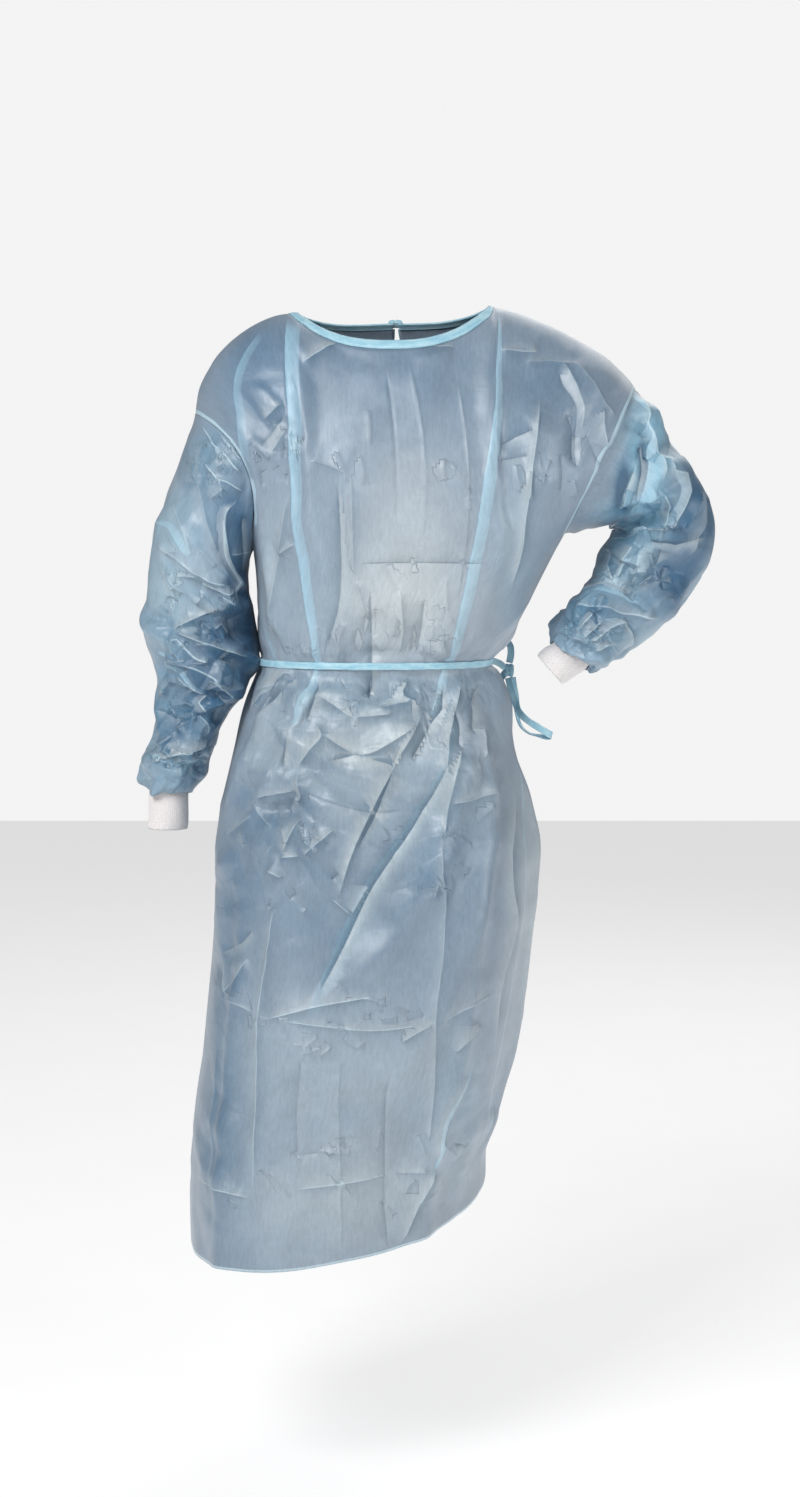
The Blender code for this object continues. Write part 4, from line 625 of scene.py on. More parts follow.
def level(drop):
    """The down coordinate that lies about `drop` below the origin."""
    drop = np.asarray(drop, dtype=float)
    yoke = np.arccos(np.sqrt(np.clip(1.0 - drop / ARMPIT_DOWN, 0.0, 1.0))) / (np.pi / 2)
    skirt = 1.0 + (drop - ARMPIT_DOWN) / (HEM_DOWN - ARMPIT_DOWN)
    return np.where(drop < ARMPIT_DOWN, yoke, skirt)


def body_relief(across, down, back):
    """Height of the folds at a point; all fade out at the side seams and armholes."""
    total = np.zeros(np.broadcast(across, down).shape)
    for fold in BACK_FOLDS if back else FRONT_FOLDS:
        start, end = level(fold.start_down), level(fold.end_down)
        run = (down - start) / (end - start)
        middle = mix(fold.start_across, fold.end_across, run) + fold.bow * 4 * run * (1 - run)
        swell = np.exp(-((across - middle) * HALF_GIRTH / fold.width) ** 2)
        free_end = 1.0 if fold.end_down >= HEM_DOWN else smooth((1 - run) / FOLD_RUN_OUT)
        total = total + fold.height * swell * smooth(run / FOLD_RUN_IN) * free_end
    return total * smooth((1 - np.abs(across)) / FOLD_CLEAR_OF_SEAM)


def lap_inset(across, down):
    """How far the inner back panel lies under the outer one."""
    return LAP_STEP * rise(across, *LAP_SINKS) * smooth((down - BACK_NECK_CUT) / LAP_DEEPENS)


def difference(surface, across, down):
    """Unit normal of a surface, taken towards the inside of its range."""
    step_across = np.where(across > 0, -DIFFERENCE, DIFFERENCE)
    step_down = np.where(down > 1, -DIFFERENCE, DIFFERENCE)
    here = surface(across, down)
    along_across = (surface(across + step_across, down) - here) / step_across[..., None]
    along_down = (surface(across, down + step_down) - here) / step_down[..., None]
    return unit(np.cross(along_across, along_down))


def body(across, down, back, inner=False):
    """Outer face of the cloth and its outward normal."""
    across, down = np.broadcast_arrays(np.asarray(across, float), np.asarray(down, float))
    facing = 1.0 if back else -1.0

    def plain(a, d):
        return plain_body(a, d, back)

    def folded(a, d):
        lift = body_relief(a, d, back)
        if inner:
            lift = lift - lap_inset(a, d)
        return plain(a, d) + facing * difference(plain, a, d) * lift[..., None]

    return folded(across, down), facing * difference(folded, across, down)


# Sleeves: turn runs round from the outer point by the front, along from the armhole
def tube(rings, turn, along):
    """Point of a tube through a table of rings."""
    row = values_at(rings, np.linspace(0.0, 1.0, len(rings)), along)
    angle = np.asarray(turn, dtype=float) * 2 * np.pi
    share = (1 - np.cos(angle)) / 2
    return stack(mix(row["out_x"], row["in_x"], share), row["mid_y"] - row["half"] * np.sin(angle),
                 mix(row["out_z"], row["in_z"], share))


def sleeve_surface(name, turn, along):
    """Sleeve that starts on its armhole seam and carries its large wrinkles."""
    turn, along = np.broadcast_arrays(np.asarray(turn, float), np.asarray(along, float))
    start = np.zeros(along.shape)
    fade = 1.0 - smooth(along / SLEEVE_HEAD)
    return (tube(SLEEVES[name], turn, along)
            + fade[..., None] * (armhole(name, turn) - tube(SLEEVES[name], turn, start)))


def tube_normal(surface, turn, along, sign):
    step_along = np.where(along > 0.5, -DIFFERENCE, DIFFERENCE)
    round_it = surface(turn + DIFFERENCE, along) - surface(turn - DIFFERENCE, along)
    down_it = (surface(turn, along + step_along) - surface(turn, along)) / step_along[..., None]
    return unit(np.cross(down_it, round_it)) * sign


def swell(wrinkles, turn, along):
    """Height that the given wrinkles add."""
    total = np.zeros(np.broadcast(turn, along).shape)
    for wrinkle in wrinkles:
        aside = (np.asarray(turn) - wrinkle.turn + 0.5) % 1.0 - 0.5
        off = along - wrinkle.along - wrinkle.tilt * aside
        total = total + wrinkle.height * np.exp(-(off / wrinkle.width) ** 2 - (aside / wrinkle.spread) ** 2)
    return total


def wrinkle_relief(name, turn, along):
    ends = smooth(along / WRINKLE_FADE) * smooth((1 - along) / WRINKLE_FADE)
    return swell(SLEEVE_WRINKLES[name], turn, along) * ends


def sleeve(name, turn, along):
    """Outer face of a sleeve and its outward normal."""
    turn, along = np.broadcast_arrays(np.asarray(turn, float), np.asarray(along, float))
    sign = -ARMHOLES[name].shoulder.sign

    def plain(t, a):
        return sleeve_surface(name, t, a)

    def folded(t, a):
        return plain(t, a) + tube_normal(plain, t, a, sign) * wrinkle_relief(name, t, a)[..., None]

    return folded(turn, along), tube_normal(folded, turn, along, sign)


def neck_size(across, back, share):
    """Half width and cut of the neck opening: share 0 at the bound edge, 1 at the binding's seam."""
    neck = np.where(across < 0, RIGHT.neck_across, LEFT.neck_across)
    cut = BACK_NECK_CUT if back else FRONT_NECK_CUT
    return neck + BINDING_ACROSS * share, cut + BINDING_DOWN * share


def neck_start(across, back):
    """The down coordinate of a panel's top: it is cut away above the binding's seam."""
    neck, cut = neck_size(across, back, 1.0)
    return cut * np.sqrt(np.clip(1.0 - (across / neck) ** 2, 0.0, 1.0))


def lapped(sign, base, down):
    """Place across of a back panel's column, which spreads past the centre below the nape."""
    spread = (base - sign) / (sign * NECK_OPENING - sign)
    opening = mix(sign * NECK_OPENING, -sign * LAP, rise(down, *LAP_SPREADS))
    return mix(sign, opening, spread)


# Relief of the cloth --------------------------------------
SHELL = 0.0006  # thickness of the cloth as it is drawn
FADE_AT_SEAM = 0.012  # creases are flat this near a seam
FADE_AT_BELT = 0.007  # and this near the middle of the belt
END_OF_CREASE = 0.18  # share of a crease over which it rises and falls
CREASE_LIFT = 2.6  # all creases stand this much higher than their tables say
CREASE_SPREAD = 1.7  # and are this much wider
CREASE_REACH = 4  # a crease is worked out up to this many of its widths away
SHORT_CREASE = 0.11  # creases up to this length are straight between their places
THIN_LINE = 0.15  # share of a crease's drawn line that is left at its ends
THIN_FLANK = 0.4  # and of its width
ROUND_WIDTH = 0.03  # a crest is rounded over its width's share of this,
ROUND_CREST = (0.08, 0.5)  # between these shares of its width
# LINE_REACH to LIT_HEIGHT set the painted light and shade on the creases' flanks, as if lit from LIT_FROM
LINE_REACH = 0.009  # how far from its crest a crease's flanks are lit or shaded
LINE_GAIN = 1.6  # how much sooner than that they are so in full
LIT_FROM = (-0.65, -0.75)  # the side, across and down, that the light comes from
LIT_HEIGHT = 3.0  # height in mm from which the flanks are fully lit
SHADE_SHARE = 0.85  # share of a crease's shade that its crest takes
CUSP = 0.5  # how sharp its crest looks
EDGE_OF_BAND = 0.0022  # a band rises over this
BAND_STARTS, BAND_STOPS = 0.05, 0.03  # shares of a band over which it fades in and out
FAR_EDGE = 0.35  # how strong a band is at its far edge
BAND_TOUCH = 0.02  # a band counts up to this far outside its edge
NO_BAND = -20.0  # and this many mm outside stands for no band
NET_TURNS = (0.5, 1.1)  # how far the net of facets may be turned
NET_WAVES = 3  # how many waves bend it
NET_PITCH = 1.6  # the most that a wave turns from one corner to the next
NET_BEND = 0.32  # how far it moves them, in sides of a facet

# Strewn creases: the shares of the row's length and height that they take, their widths in mm on
# the near and the far side, how pale they may be and how many stand up
STREWN_LENGTHS = (0.5, 1.6)
STREWN_HEIGHTS = (0.5, 1.3)
STREWN_NEAR = (3.0, 6.0)
STREWN_FAR = (5.0, 11.0)
STREWN_SHADES = (0.0, 0.5)
STREWN_RAISED = 0.62
STREWN_BEND = 0.08
STREWN_FLANKS = 0.7


def to_path(x, drop, path):
    """Signed distance to a path, and the run along it from 0 to 1."""
    best = np.full(x.shape, np.inf)
    side, run = np.zeros(x.shape), np.zeros(x.shape)
    spans = [math.dist(a, b) for a, b in zip(path, path[1:])]
    total, gone = sum(spans), 0.0
    for (x0, d0), (x1, d1), span in zip(path, path[1:], spans):
        share = np.clip(((x - x0) * (x1 - x0) + (drop - d0) * (d1 - d0)) / span**2, 0.0, 1.0)
        away = np.hypot(x - mix(x0, x1, share), drop - mix(d0, d1, share))
        nearer = away < best
        turned = (x1 - x0) * (drop - d0) - (d1 - d0) * (x - x0)
        best = np.where(nearer, away, best)
        side = np.where(nearer, np.sign(turned) + (turned == 0), side)
        run = np.where(nearer, (gone + share * span) / total, run)
        gone += span
    return best * side, run


def rounded_path(path):
    """The path's places joined by one soft curve."""
    if len(path) < 3:
        return path
    return list(zip(*(through(column, CURVE_STEPS) for column in zip(*path))))


def strewn(table, seed):
    """Small straight creases drawn from rows of places."""
    chance = np.random.default_rng(seed)
    found = []
    for row in table:
        for _ in range(row.count):
            angle, away = chance.uniform(0, 2 * np.pi), math.sqrt(chance.uniform())
            x = row.x + row.reach_x * away * math.cos(angle)
            drop = row.drop + row.reach_drop * away * math.sin(angle)
            heading = math.radians(row.heading + row.stray * chance.normal())
            half = row.length * chance.uniform(*STREWN_LENGTHS) / 2
            bend = chance.normal() * STREWN_BEND
            out_x, out_drop = half * math.cos(heading), half * math.sin(heading)
            path = ((x - out_x, drop - out_drop), (x + bend * out_drop, drop - bend * out_x),
                    (x + out_x, drop + out_drop))
            sign = 1.0 if chance.uniform() < STREWN_RAISED else -1.0
            size = row.height * chance.uniform(*STREWN_HEIGHTS)
            near, far = chance.uniform(*STREWN_NEAR), chance.uniform(*STREWN_FAR)
            shade = row.shade * chance.uniform(*STREWN_SHADES)
            found.append(Crease(sign * size, near, far, sign * shade, STREWN_FLANKS, path))
    return found


class Finish:
    """What the surface carries to its material, one value at each point of a piece.

    Lines hold the distance to the nearest crease in mm, its shade (painted highlight or painted shade
    on its crest), its sharpness and the painted light and shade on its flanks, in two layers for
    creases that cross. The band holds the distance in from a band's edge in mm and how much bluer
    and paler it is. Tones hold paler (painted light), deeper (layered cloth and painted shade),
    bluer and crumpled.
    """

    def __init__(self, x, drop):
        self.x, self.drop = x, drop
        self.relief = np.zeros(len(x))
        self.lines = [np.zeros((len(x), 4)) for _ in range(2)]
        self.nearness = [np.full(len(x), 1e-3) for _ in range(2)]
        self.band = np.tile((NO_BAND, 0.0, 0.0), (len(x), 1))
        self.tone = np.zeros((len(x), 4))

    def add_creases(self, facing, table):
        """Relief and lines of creases, on the side of the gown that faces their table."""
        for order, crease in enumerate(table):
            length = math.dist(crease.path[0], crease.path[-1])
            path = crease.path if length < SHORT_CREASE else rounded_path(crease.path)
            reach = CREASE_REACH * CREASE_SPREAD * max(crease.left, crease.right) * MM
            low_x, low_drop = np.min(path, axis=0) - reach
            high_x, high_drop = np.max(path, axis=0) + reach
            near = ((self.x > low_x) & (self.x < high_x) & (self.drop > low_drop)
                    & (self.drop < high_drop) & (facing > 0))
            if near.any():
                self.add_crease(np.flatnonzero(near), facing[near], crease, path, length, order % 2)

    def add_crease(self, near, facing, crease, path, length, layer):
        away, run = to_path(self.x[near], self.drop[near], path)
        ends = smooth(run / END_OF_CREASE) * smooth((1 - run) / END_OF_CREASE)
        spindle = mix(THIN_LINE, 1.0, np.sin(np.pi * np.clip(run, 0.0, 1.0)))
        width = np.where(away > 0, crease.left, crease.right) * MM * CREASE_SPREAD
        width = width * mix(THIN_FLANK, 1.0, spindle)
        soft = width * np.clip(width / ROUND_WIDTH, *ROUND_CREST)
        fall = np.exp((soft - np.hypot(away, soft)) / width)
        self.relief[near] += CREASE_LIFT * crease.height * MM * fall * ends * facing

        nearness = np.exp(-np.abs(away) / (LINE_REACH * spindle)) * ends * facing
        mine = nearness > self.nearness[layer][near]
        self.nearness[layer][near[mine]] = nearness[mine]
        weight = np.clip(nearness[mine] * LINE_GAIN, 0, 1)
        rising = np.sign(crease.height)
        # painted light on the flank that faces LIT_FROM and painted shade on the other, and the crest's
        # painted highlight or shade
        (x0, d0), (x1, d1) = path[0], path[-1]
        lit = rising * (LIT_FROM[1] * (x1 - x0) - LIT_FROM[0] * (d1 - d0)) / max(length, 0.01)
        flank = lit * min(abs(crease.height) / LIT_HEIGHT, 1.0) * crease.flanks
        self.lines[layer][near[mine]] = np.stack([away[mine] / MM, SHADE_SHARE * crease.shade * weight,
                                                  CUSP * rising * weight, flank * weight], axis=-1)

    def add_facets(self, places, facets, seed):
        """Flat facets that meet in sharp ridges, as in cloth that was crushed: random heights on a
        bent triangular net, joined by planes. Each takes a random paler or deeper tint, painted light
        and shade that stand in for the tilt of the facets."""
        chance = np.random.default_rng(seed)
        turn = chance.uniform(*NET_TURNS)
        net = places @ np.array([[math.cos(turn), math.sin(turn)], [-math.sin(turn), math.cos(turn)]])
        net = net / facets.size
        for _ in range(NET_WAVES):
            wave = chance.uniform(-NET_PITCH, NET_PITCH, (2, 2))
            net = net + NET_BEND * np.sin(net @ wave + chance.uniform(0, 6, 2))
        net -= net.min(axis=0) - 1.0
        corner = net.astype(int)
        share = net - corner
        heights = chance.normal(size=corner.max(axis=0) + 2)
        low_x, low_y = corner[:, 0], corner[:, 1]
        start, end = heights[low_x, low_y], heights[low_x + 1, low_y + 1]
        level_first = share[:, 0] > share[:, 1]
        third = np.where(level_first, heights[low_x + 1, low_y], heights[low_x, low_y + 1])
        ridge = start + (third - start) * share.max(axis=1) + (end - third) * share.min(axis=1)
        crushed = np.minimum(self.tone[:, 3], 1.0)
        self.relief += ridge * facets.height * crushed
        # painted light and shade at random on each facet, in place of the light on its tilt
        facet_light_and_shade = chance.normal(size=heights.shape + (2,))[low_x, low_y, level_first.astype(int)]
        self.tone[:, 0] += np.maximum(facet_light_and_shade, 0.0) * facets.tint * crushed
        self.tone[:, 1] += np.maximum(-facet_light_and_shade, 0.0) * facets.tint * crushed

    def add_bands(self, facing, table):
        """Bands of doubled cloth, sharpest on their left side."""
        for band in table:
            away, run = to_path(self.x, self.drop, rounded_path([(s.x, s.drop) for s in band.path]))
            places = np.linspace(0.0, 1.0, len(band.path))
            width = curve(places, [s.width for s in band.path], run) * MM
            inside = width / 2 - np.abs(away)
            ends = smooth(run / BAND_STARTS) * smooth((1 - run) / BAND_STOPS)
            fuller = mix(FAR_EDGE, 1.0, np.clip(0.5 + away / width, 0.0, 1.0)) * ends * facing
            self.relief += band.height * MM * smooth(0.5 + inside / EDGE_OF_BAND) * fuller
            self.add_edge(inside, band.cyan * fuller, band.pale * fuller)

    def add_edge(self, inside, cyan, pale):
        """Band of doubled cloth, `inside` metres in from its edge."""
        mine = (inside / MM > self.band[:, 0]) & (inside > -BAND_TOUCH)
        self.band[mine] = stack(inside / MM, cyan, pale)[mine]

    def add_tones(self, facing, table):
        """Broad tones that fade out from their middles."""
        for tone in table:
            spread = (((self.x - tone.x) / tone.reach_x) ** 2
                      + ((self.drop - tone.drop) / tone.reach_drop) ** 2)
            spot = np.exp(-spread) * facing
            self.tone += spot[:, None] * np.array([tone.pale, tone.deep, tone.cyan, tone.crumple])


# Pieces of cloth ------------------------------------------
MERGE = 1e-6  # corners this near are merged


def grid(columns, lines):
    """Bmesh grid and the places of its corners, 0 to 1 across and down."""
    bm = bmesh.new()
    bmesh.ops.create_grid(bm, x_segments=columns, y_segments=lines, size=0.5)
    places = np.array([v.co[:2] for v in bm.verts]) + 0.5
    return bm, places[:, 0], places[:, 1]


def finished(name, bm, points, normals, laid, mat, thickness=0.0, finish=None, wrapped=False):
    """Object of one piece: its corners placed, its faces turned outwards and its doubles merged,
    with a wall of its thickness under the outer face."""
    layers = {"laid": (laid, bm.verts.layers.float_vector)}
    if finish is not None:
        layers["fold_a"] = (finish.lines[0], bm.verts.layers.float_color)
        layers["fold_b"] = (finish.lines[1], bm.verts.layers.float_color)
        layers["band"] = (finish.band, bm.verts.layers.float_vector)
        layers["tone"] = (finish.tone, bm.verts.layers.float_color)
    made = {key: kind.new(key) for key, (_, kind) in layers.items()}
    bm.verts.ensure_lookup_table()
    for spot, vert in enumerate(bm.verts):
        vert.co = Vector(points[spot])
        for key, (values, _) in layers.items():
            vert[made[key]] = values[spot]
    bm.normal_update()
    facing = sum(face.normal.dot(Vector(normals[face.verts[0].index])) for face in bm.faces)
    if facing < 0:
        bmesh.ops.reverse_faces(bm, faces=bm.faces[:])
    if wrapped:
        bmesh.ops.remove_doubles(bm, verts=bm.verts[:], dist=MERGE)
    mesh = bpy.data.meshes.new(name)
    bm.to_mesh(mesh)
    bm.free()
    mesh.materials.append(mat)
    mesh.shade_smooth()
    obj = bpy.data.objects.new(name, mesh)
    bpy.context.scene.collection.objects.link(obj)
    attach(obj, "root")
    if thickness:
        wall = obj.modifiers.new("wall", "SOLIDIFY")
        wall.thickness = thickness
        wall.offset = -1.0
        wall.use_even_offset = False
    return obj


# Crushed facets: the length of their sides, how high their corners stand, and how strong the
# random painted light and shade on them may be
Facets = namedtuple("Facets", "size height tint")
PANEL_FACETS = (Facets(0.064, 0.010, 0.08), Facets(0.032, 0.004, 0.05))
SLEEVE_FACETS = (Facets(0.060, 0.008, 0.14), Facets(0.030, 0.0045, 0.08))

PANEL_ROWS = 236
SAME_PLACE = 1e-7  # columns this near are one
YOKE_SHARE = 0.27  # share of a panel's rows that lie above the armpits
BRIDGE_FROM, BRIDGE_TO = 0.88, 1.02  # down coordinates between which the yoke is bridged
CREASES_FACE = (0.1, 0.6)  # how far the cloth faces the viewer where creases set in and are full
TONES_FACE = (-0.16, 0.64)  # and tones
PANEL_CRUSH = 0.12  # how crushed a panel is everywhere,
BELT_CRUSH = 0.35  # how much more it is at the belt,
BELT_CRUSH_REACH = 0.05  # and how far from it
HOLE_PLACES = 9  # points of an armhole that its taped seam is measured from
SEAM_BAND = 0.0050  # width of that seam, and how much bluer and paler it is
SEAM_TINT = (0.45, 0.55)
HEM_BAND = 0.0035  # the same for the turned hem
HEM_TINT = (0.0, 0.75)
LAID_SHIFT = 0.05  # how far above the shoulders the cloth's own coordinates start

# Gathers at the belt: how many, their pitch, and shares of it, reach, lean and heights in mm
GATHERS = 46
GATHER_PITCH = 0.0085
GATHER_WIDTHS = (0.35, 0.8)
GATHER_REACH = (0.016, 0.060)
GATHER_LEAN = 0.35
GATHER_HEIGHTS = (0.5, 1.5)
GATHERS_RAISED = 0.7  # share of them that stand up; the others sink less
GATHER_SINKS = -0.6

# What is laid on each side of the body: columns of its mesh, tables, and seeds of what is random
Side = namedtuple("Side", "columns creases strewn strewn_seed bands tones seed")
FRONT = Side(192, FRONT_CREASES, FRONT_STREWN, 11, FRONT_BANDS, FRONT_TONES, 21)
BACK = Side(120, BACK_CREASES, BACK_STREWN, 31, BACK_BANDS, BACK_TONES, 41)


def spread_columns(places, first, last, corner):
    """Places across of the columns, one of them on the neck's corner."""
    columns = mix(first, last, places)
    steps = np.unique(np.round(columns, 9))
    for place in corner:
        nearest = steps[np.argmin(np.abs(steps - place))]
        columns = np.where(np.abs(columns - nearest) < SAME_PLACE, place, columns)
    return columns


def gathers(across, drop, seed):
    """Small upright pleats that spread from the belt."""
    chance = np.random.default_rng(seed)
    places = across * HALF_GIRTH
    away = np.abs(drop - BELT_DOWN)
    total = np.zeros(across.shape)
    for _ in range(GATHERS):
        middle = chance.uniform(-HALF_GIRTH, HALF_GIRTH)
        width = GATHER_PITCH * chance.uniform(*GATHER_WIDTHS)
        length = chance.uniform(*GATHER_REACH)
        shift = middle + chance.normal() * GATHER_LEAN * (drop - BELT_DOWN)
        sign = 1.0 if chance.uniform() < GATHERS_RAISED else GATHER_SINKS
        pleat = np.exp(-np.abs(places - shift) / width - (away / length) ** 2)
        total += sign * chance.uniform(*GATHER_HEIGHTS) * pleat
    return total * MM


def calm_body(across, down, back, inner):
    """The body's surface, bridged straight where the yoke turns under at the armpits."""
    point, normal = body(across, down, back, inner)
    above, above_normal = body(across, np.full(down.shape, BRIDGE_FROM), back, inner)
    below, below_normal = body(across, np.full(down.shape, BRIDGE_TO), back, inner)
    share = np.clip((down - BRIDGE_FROM) / (BRIDGE_TO - BRIDGE_FROM), 0.0, 1.0)[:, None]
    bridged = (down > BRIDGE_FROM) & (down < BRIDGE_TO)
    point[bridged] = mix(above, below, share)[bridged]
    normal[bridged] = unit(mix(above_normal, below_normal, share))[bridged]
    return point, normal


def panel_piece(name, side, first, last, corner, mat):
    """Body panel on the form of its solid, with its creases, bands and tones."""
    back, inner = side is BACK, side is BACK and first < 0
    bm, u, v = grid(side.columns, PANEL_ROWS)
    base = spread_columns(u, first, last, corner)
    top = neck_start(base, back)
    down = np.where(v < YOKE_SHARE, mix(top, 1.0, v / YOKE_SHARE),
                    1.0 + (v - YOKE_SHARE) / (1.0 - YOKE_SHARE))
    across = lapped(first, base, down) if back else base
    seam = 1.0 - SEAM_GAP / 2 / HALF_GIRTH
    across = np.clip(across, -seam, seam)
    point, normal = calm_body(across, down, back, inner)
    turned_out = normal[:, 1] * (1 if back else -1)
    facing = rise(turned_out, *CREASES_FACE)
    x, drop = point[:, 0], -point[:, 2]
    finish = Finish(x, drop)
    finish.add_tones(rise(turned_out, *TONES_FACE), side.tones)
    finish.tone[:, 3] += PANEL_CRUSH + BELT_CRUSH * np.exp(-((drop - BELT_DOWN) / BELT_CRUSH_REACH) ** 2)
    finish.add_creases(facing, side.creases + strewn(side.strewn, side.strewn_seed))
    finish.relief += gathers(across, drop, side.seed)
    places = np.stack([across * HALF_GIRTH, drop], axis=-1)
    for order, facets in enumerate(PANEL_FACETS, 1):
        finish.add_facets(places, facets, side.seed + order)
    finish.add_bands(facing, side.bands)
    to_side = (1.0 - np.abs(across)) * HALF_GIRTH
    to_neck = (down - top) * ARMPIT_DOWN
    finish.relief *= (smooth(to_side / FADE_AT_SEAM) * smooth(to_neck / FADE_AT_SEAM)
                      * smooth(np.abs(drop - BELT_DOWN) / FADE_AT_BELT - 0.5))
    for sign in (-1.0, 1.0):
        hole = body(np.full(HOLE_PLACES, sign), np.linspace(0.0, 1.0, HOLE_PLACES), back)[0]
        away, _ = to_path(x, drop, list(zip(hole[:, 0], -hole[:, 2])))
        to_hole = np.where((down <= BRIDGE_TO) & (across * sign > 0), np.abs(away), 1.0)
        finish.add_edge(SEAM_BAND - to_hole, *SEAM_TINT)
    finish.add_edge(HEM_BAND - (2.0 - down) * (HEM_DOWN - ARMPIT_DOWN), *HEM_TINT)
    point = point + normal * finish.relief[:, None]
    laid = stack(across * HALF_GIRTH, float(back), -(drop + LAID_SHIFT))
    return finished(name, bm, point, normal, laid, mat, SHELL, finish)


SLEEVE_TURNS, SLEEVE_STEPS = 176, 150  # mesh of a sleeve, round and along
SLEEVE_GIRTH, SLEEVE_LENGTH = 0.52, 0.46  # its cloth as it lies, for the facets
SLEEVE_RADIUS = 0.09  # and as a tube, for the material
SLEEVE_FACE = (-0.05, 0.45)  # how far it faces the viewer where creases set in and are full
REAR_TONES = 0.8  # how strong the front's tones are on the rear
SLEEVE_BLUE = 0.22  # how much bluer a sleeve is than the body,
BLUE_FROM_HOLE = 0.4  # from this far down
SLEEVE_CRUSH = 0.25  # how crushed it is everywhere,
END_CRUSH = 0.20  # and how much more towards its end
END_CRUSH_FROM, END_CRUSH_TO = 0.75, 0.95
FADE_AT_HOLE = 0.03  # the relief is flat this near the armhole
RIM_FROM = 0.985  # and never sinks below the form from here on
REAR_SEED = 7  # what is added to the seed for the rear's strewn creases

# Pleats at a sleeve's elastic end: how many, shares of a turn that they stray and spread over,
# where they start along the sleeve, over what they rise, and their heights in mm
PLEATS = 30
PLEAT_STRAY = 0.05
PLEAT_WIDTHS = (0.006, 0.016)
PLEAT_STARTS = (0.72, 0.90)
PLEAT_RISE = 0.14
PLEAT_HEIGHTS = (0.5, 1.6)


def end_gathers(turn, along, seed):
    """Outward pleats at a sleeve's elastic end."""
    chance = np.random.default_rng(seed)
    total = np.zeros(turn.shape)
    for _ in range(PLEATS):
        middle, stray = chance.uniform(), chance.normal() * PLEAT_STRAY
        aside = (turn - middle + 0.5 + stray * (1 - along)) % 1.0 - 0.5
        width, start = chance.uniform(*PLEAT_WIDTHS), chance.uniform(*PLEAT_STARTS)
        pleat = np.exp(-np.abs(aside) / width) * smooth((along - start) / PLEAT_RISE)
        total += chance.uniform(*PLEAT_HEIGHTS) * pleat
    return total * MM


def round_cloth(turn, along, radius, length):
    """Coordinates of a tube's cloth for its material."""
    angle = turn * 2 * np.pi
    return stack(radius * np.cos(angle), radius * np.sin(angle), -along * length)


def sleeve_piece(name, side, seed, mat):
    """Sleeve on the form of its solid, crushed and gathered at its end."""
    bm, turn, along = grid(SLEEVE_TURNS, SLEEVE_STEPS)
    point, normal = sleeve(side, turn, along)
    point[along < 1e-9] += armhole_axis(side)[2] * ARMHOLE_GAP
    finish = Finish(point[:, 0], -point[:, 2])
    front, rear = rise(-normal[:, 1], *SLEEVE_FACE), rise(normal[:, 1], *SLEEVE_FACE)
    finish.add_tones(np.maximum(front, rear * REAR_TONES), SLEEVE_TONES[side])
    finish.tone[:, 2] += SLEEVE_BLUE * smooth(along / BLUE_FROM_HOLE)
    finish.tone[:, 3] += SLEEVE_CRUSH + END_CRUSH * rise(along, END_CRUSH_FROM, END_CRUSH_TO)
    finish.add_creases(front, SLEEVE_FRONT[side] + strewn(SLEEVE_STREWN[side], seed))
    finish.add_creases(rear, SLEEVE_BACK[side] + strewn(SLEEVE_STREWN[side], seed + REAR_SEED))
    finish.add_bands(front, SLEEVE_BANDS[side])
    finish.relief += end_gathers(turn, along, seed + 1) + swell(SLEEVE_FULLNESS[side], turn, along)
    places = np.stack([turn % 1.0 * SLEEVE_GIRTH, along * SLEEVE_LENGTH], axis=-1)
    for order, facets in enumerate(SLEEVE_FACETS, 2):
        finish.add_facets(places, facets, seed + order)
    finish.relief *= smooth(along / FADE_AT_HOLE)
    finish.relief = np.where(along > RIM_FROM, np.maximum(finish.relief, 0), finish.relief)
    point = point + normal * finish.relief[:, None]
    laid = round_cloth(turn, along, SLEEVE_RADIUS, SLEEVE_LENGTH)
    return finished(name, bm, point, normal, laid, mat, SHELL, finish, wrapped=True)


RIBS = 58  # ribs round a cuff
RIB_STEPS = 4  # steps of the mesh to a rib
CUFF_STEPS = 26  # and along the cuff
RIB_HEIGHT = 0.00055
RIBS_FROM, RIBS_FULL = 0.12, 0.32  # places along it where the ribs set in and are full
CUFF_SAG = 0.0006  # how far the knit strays from its form
CUFF_ROLL = 0.0009  # how far its edge rolls in,
ROLL_FROM = 0.90  # from here along it
CUFF_WALL = 0.9  # share of the knit's wall that the ribs leave
CUFF_RADIUS, CUFF_LENGTH = 0.026, 0.05  # its cloth as a tube, for the material


def cuff_piece(name, side, mat):
    """Ribbed knit with a softly rolled edge."""
    bm, turn, along = grid(RIBS * RIB_STEPS, CUFF_STEPS)
    surface = partial(tube, CUFFS[side])
    point = surface(turn, along)
    normal = tube_normal(surface, turn, along, -ARMHOLES[side].shoulder.sign)
    rib = 0.5 + 0.5 * np.cos(turn * RIBS * 2 * np.pi)
    sag = np.sin(turn * 6 * np.pi + 1.0) * np.sin(along * 5.0) * CUFF_SAG
    relief = (RIB_HEIGHT * rib + sag) * rise(along, RIBS_FROM, RIBS_FULL)
    point = point + normal * (relief - rise(along, ROLL_FROM, 1.0) * CUFF_ROLL)[:, None]
    laid = round_cloth(turn, along, CUFF_RADIUS, CUFF_LENGTH)
    return finished(name, bm, point, normal, laid, mat, KNIT * CUFF_WALL, wrapped=True)


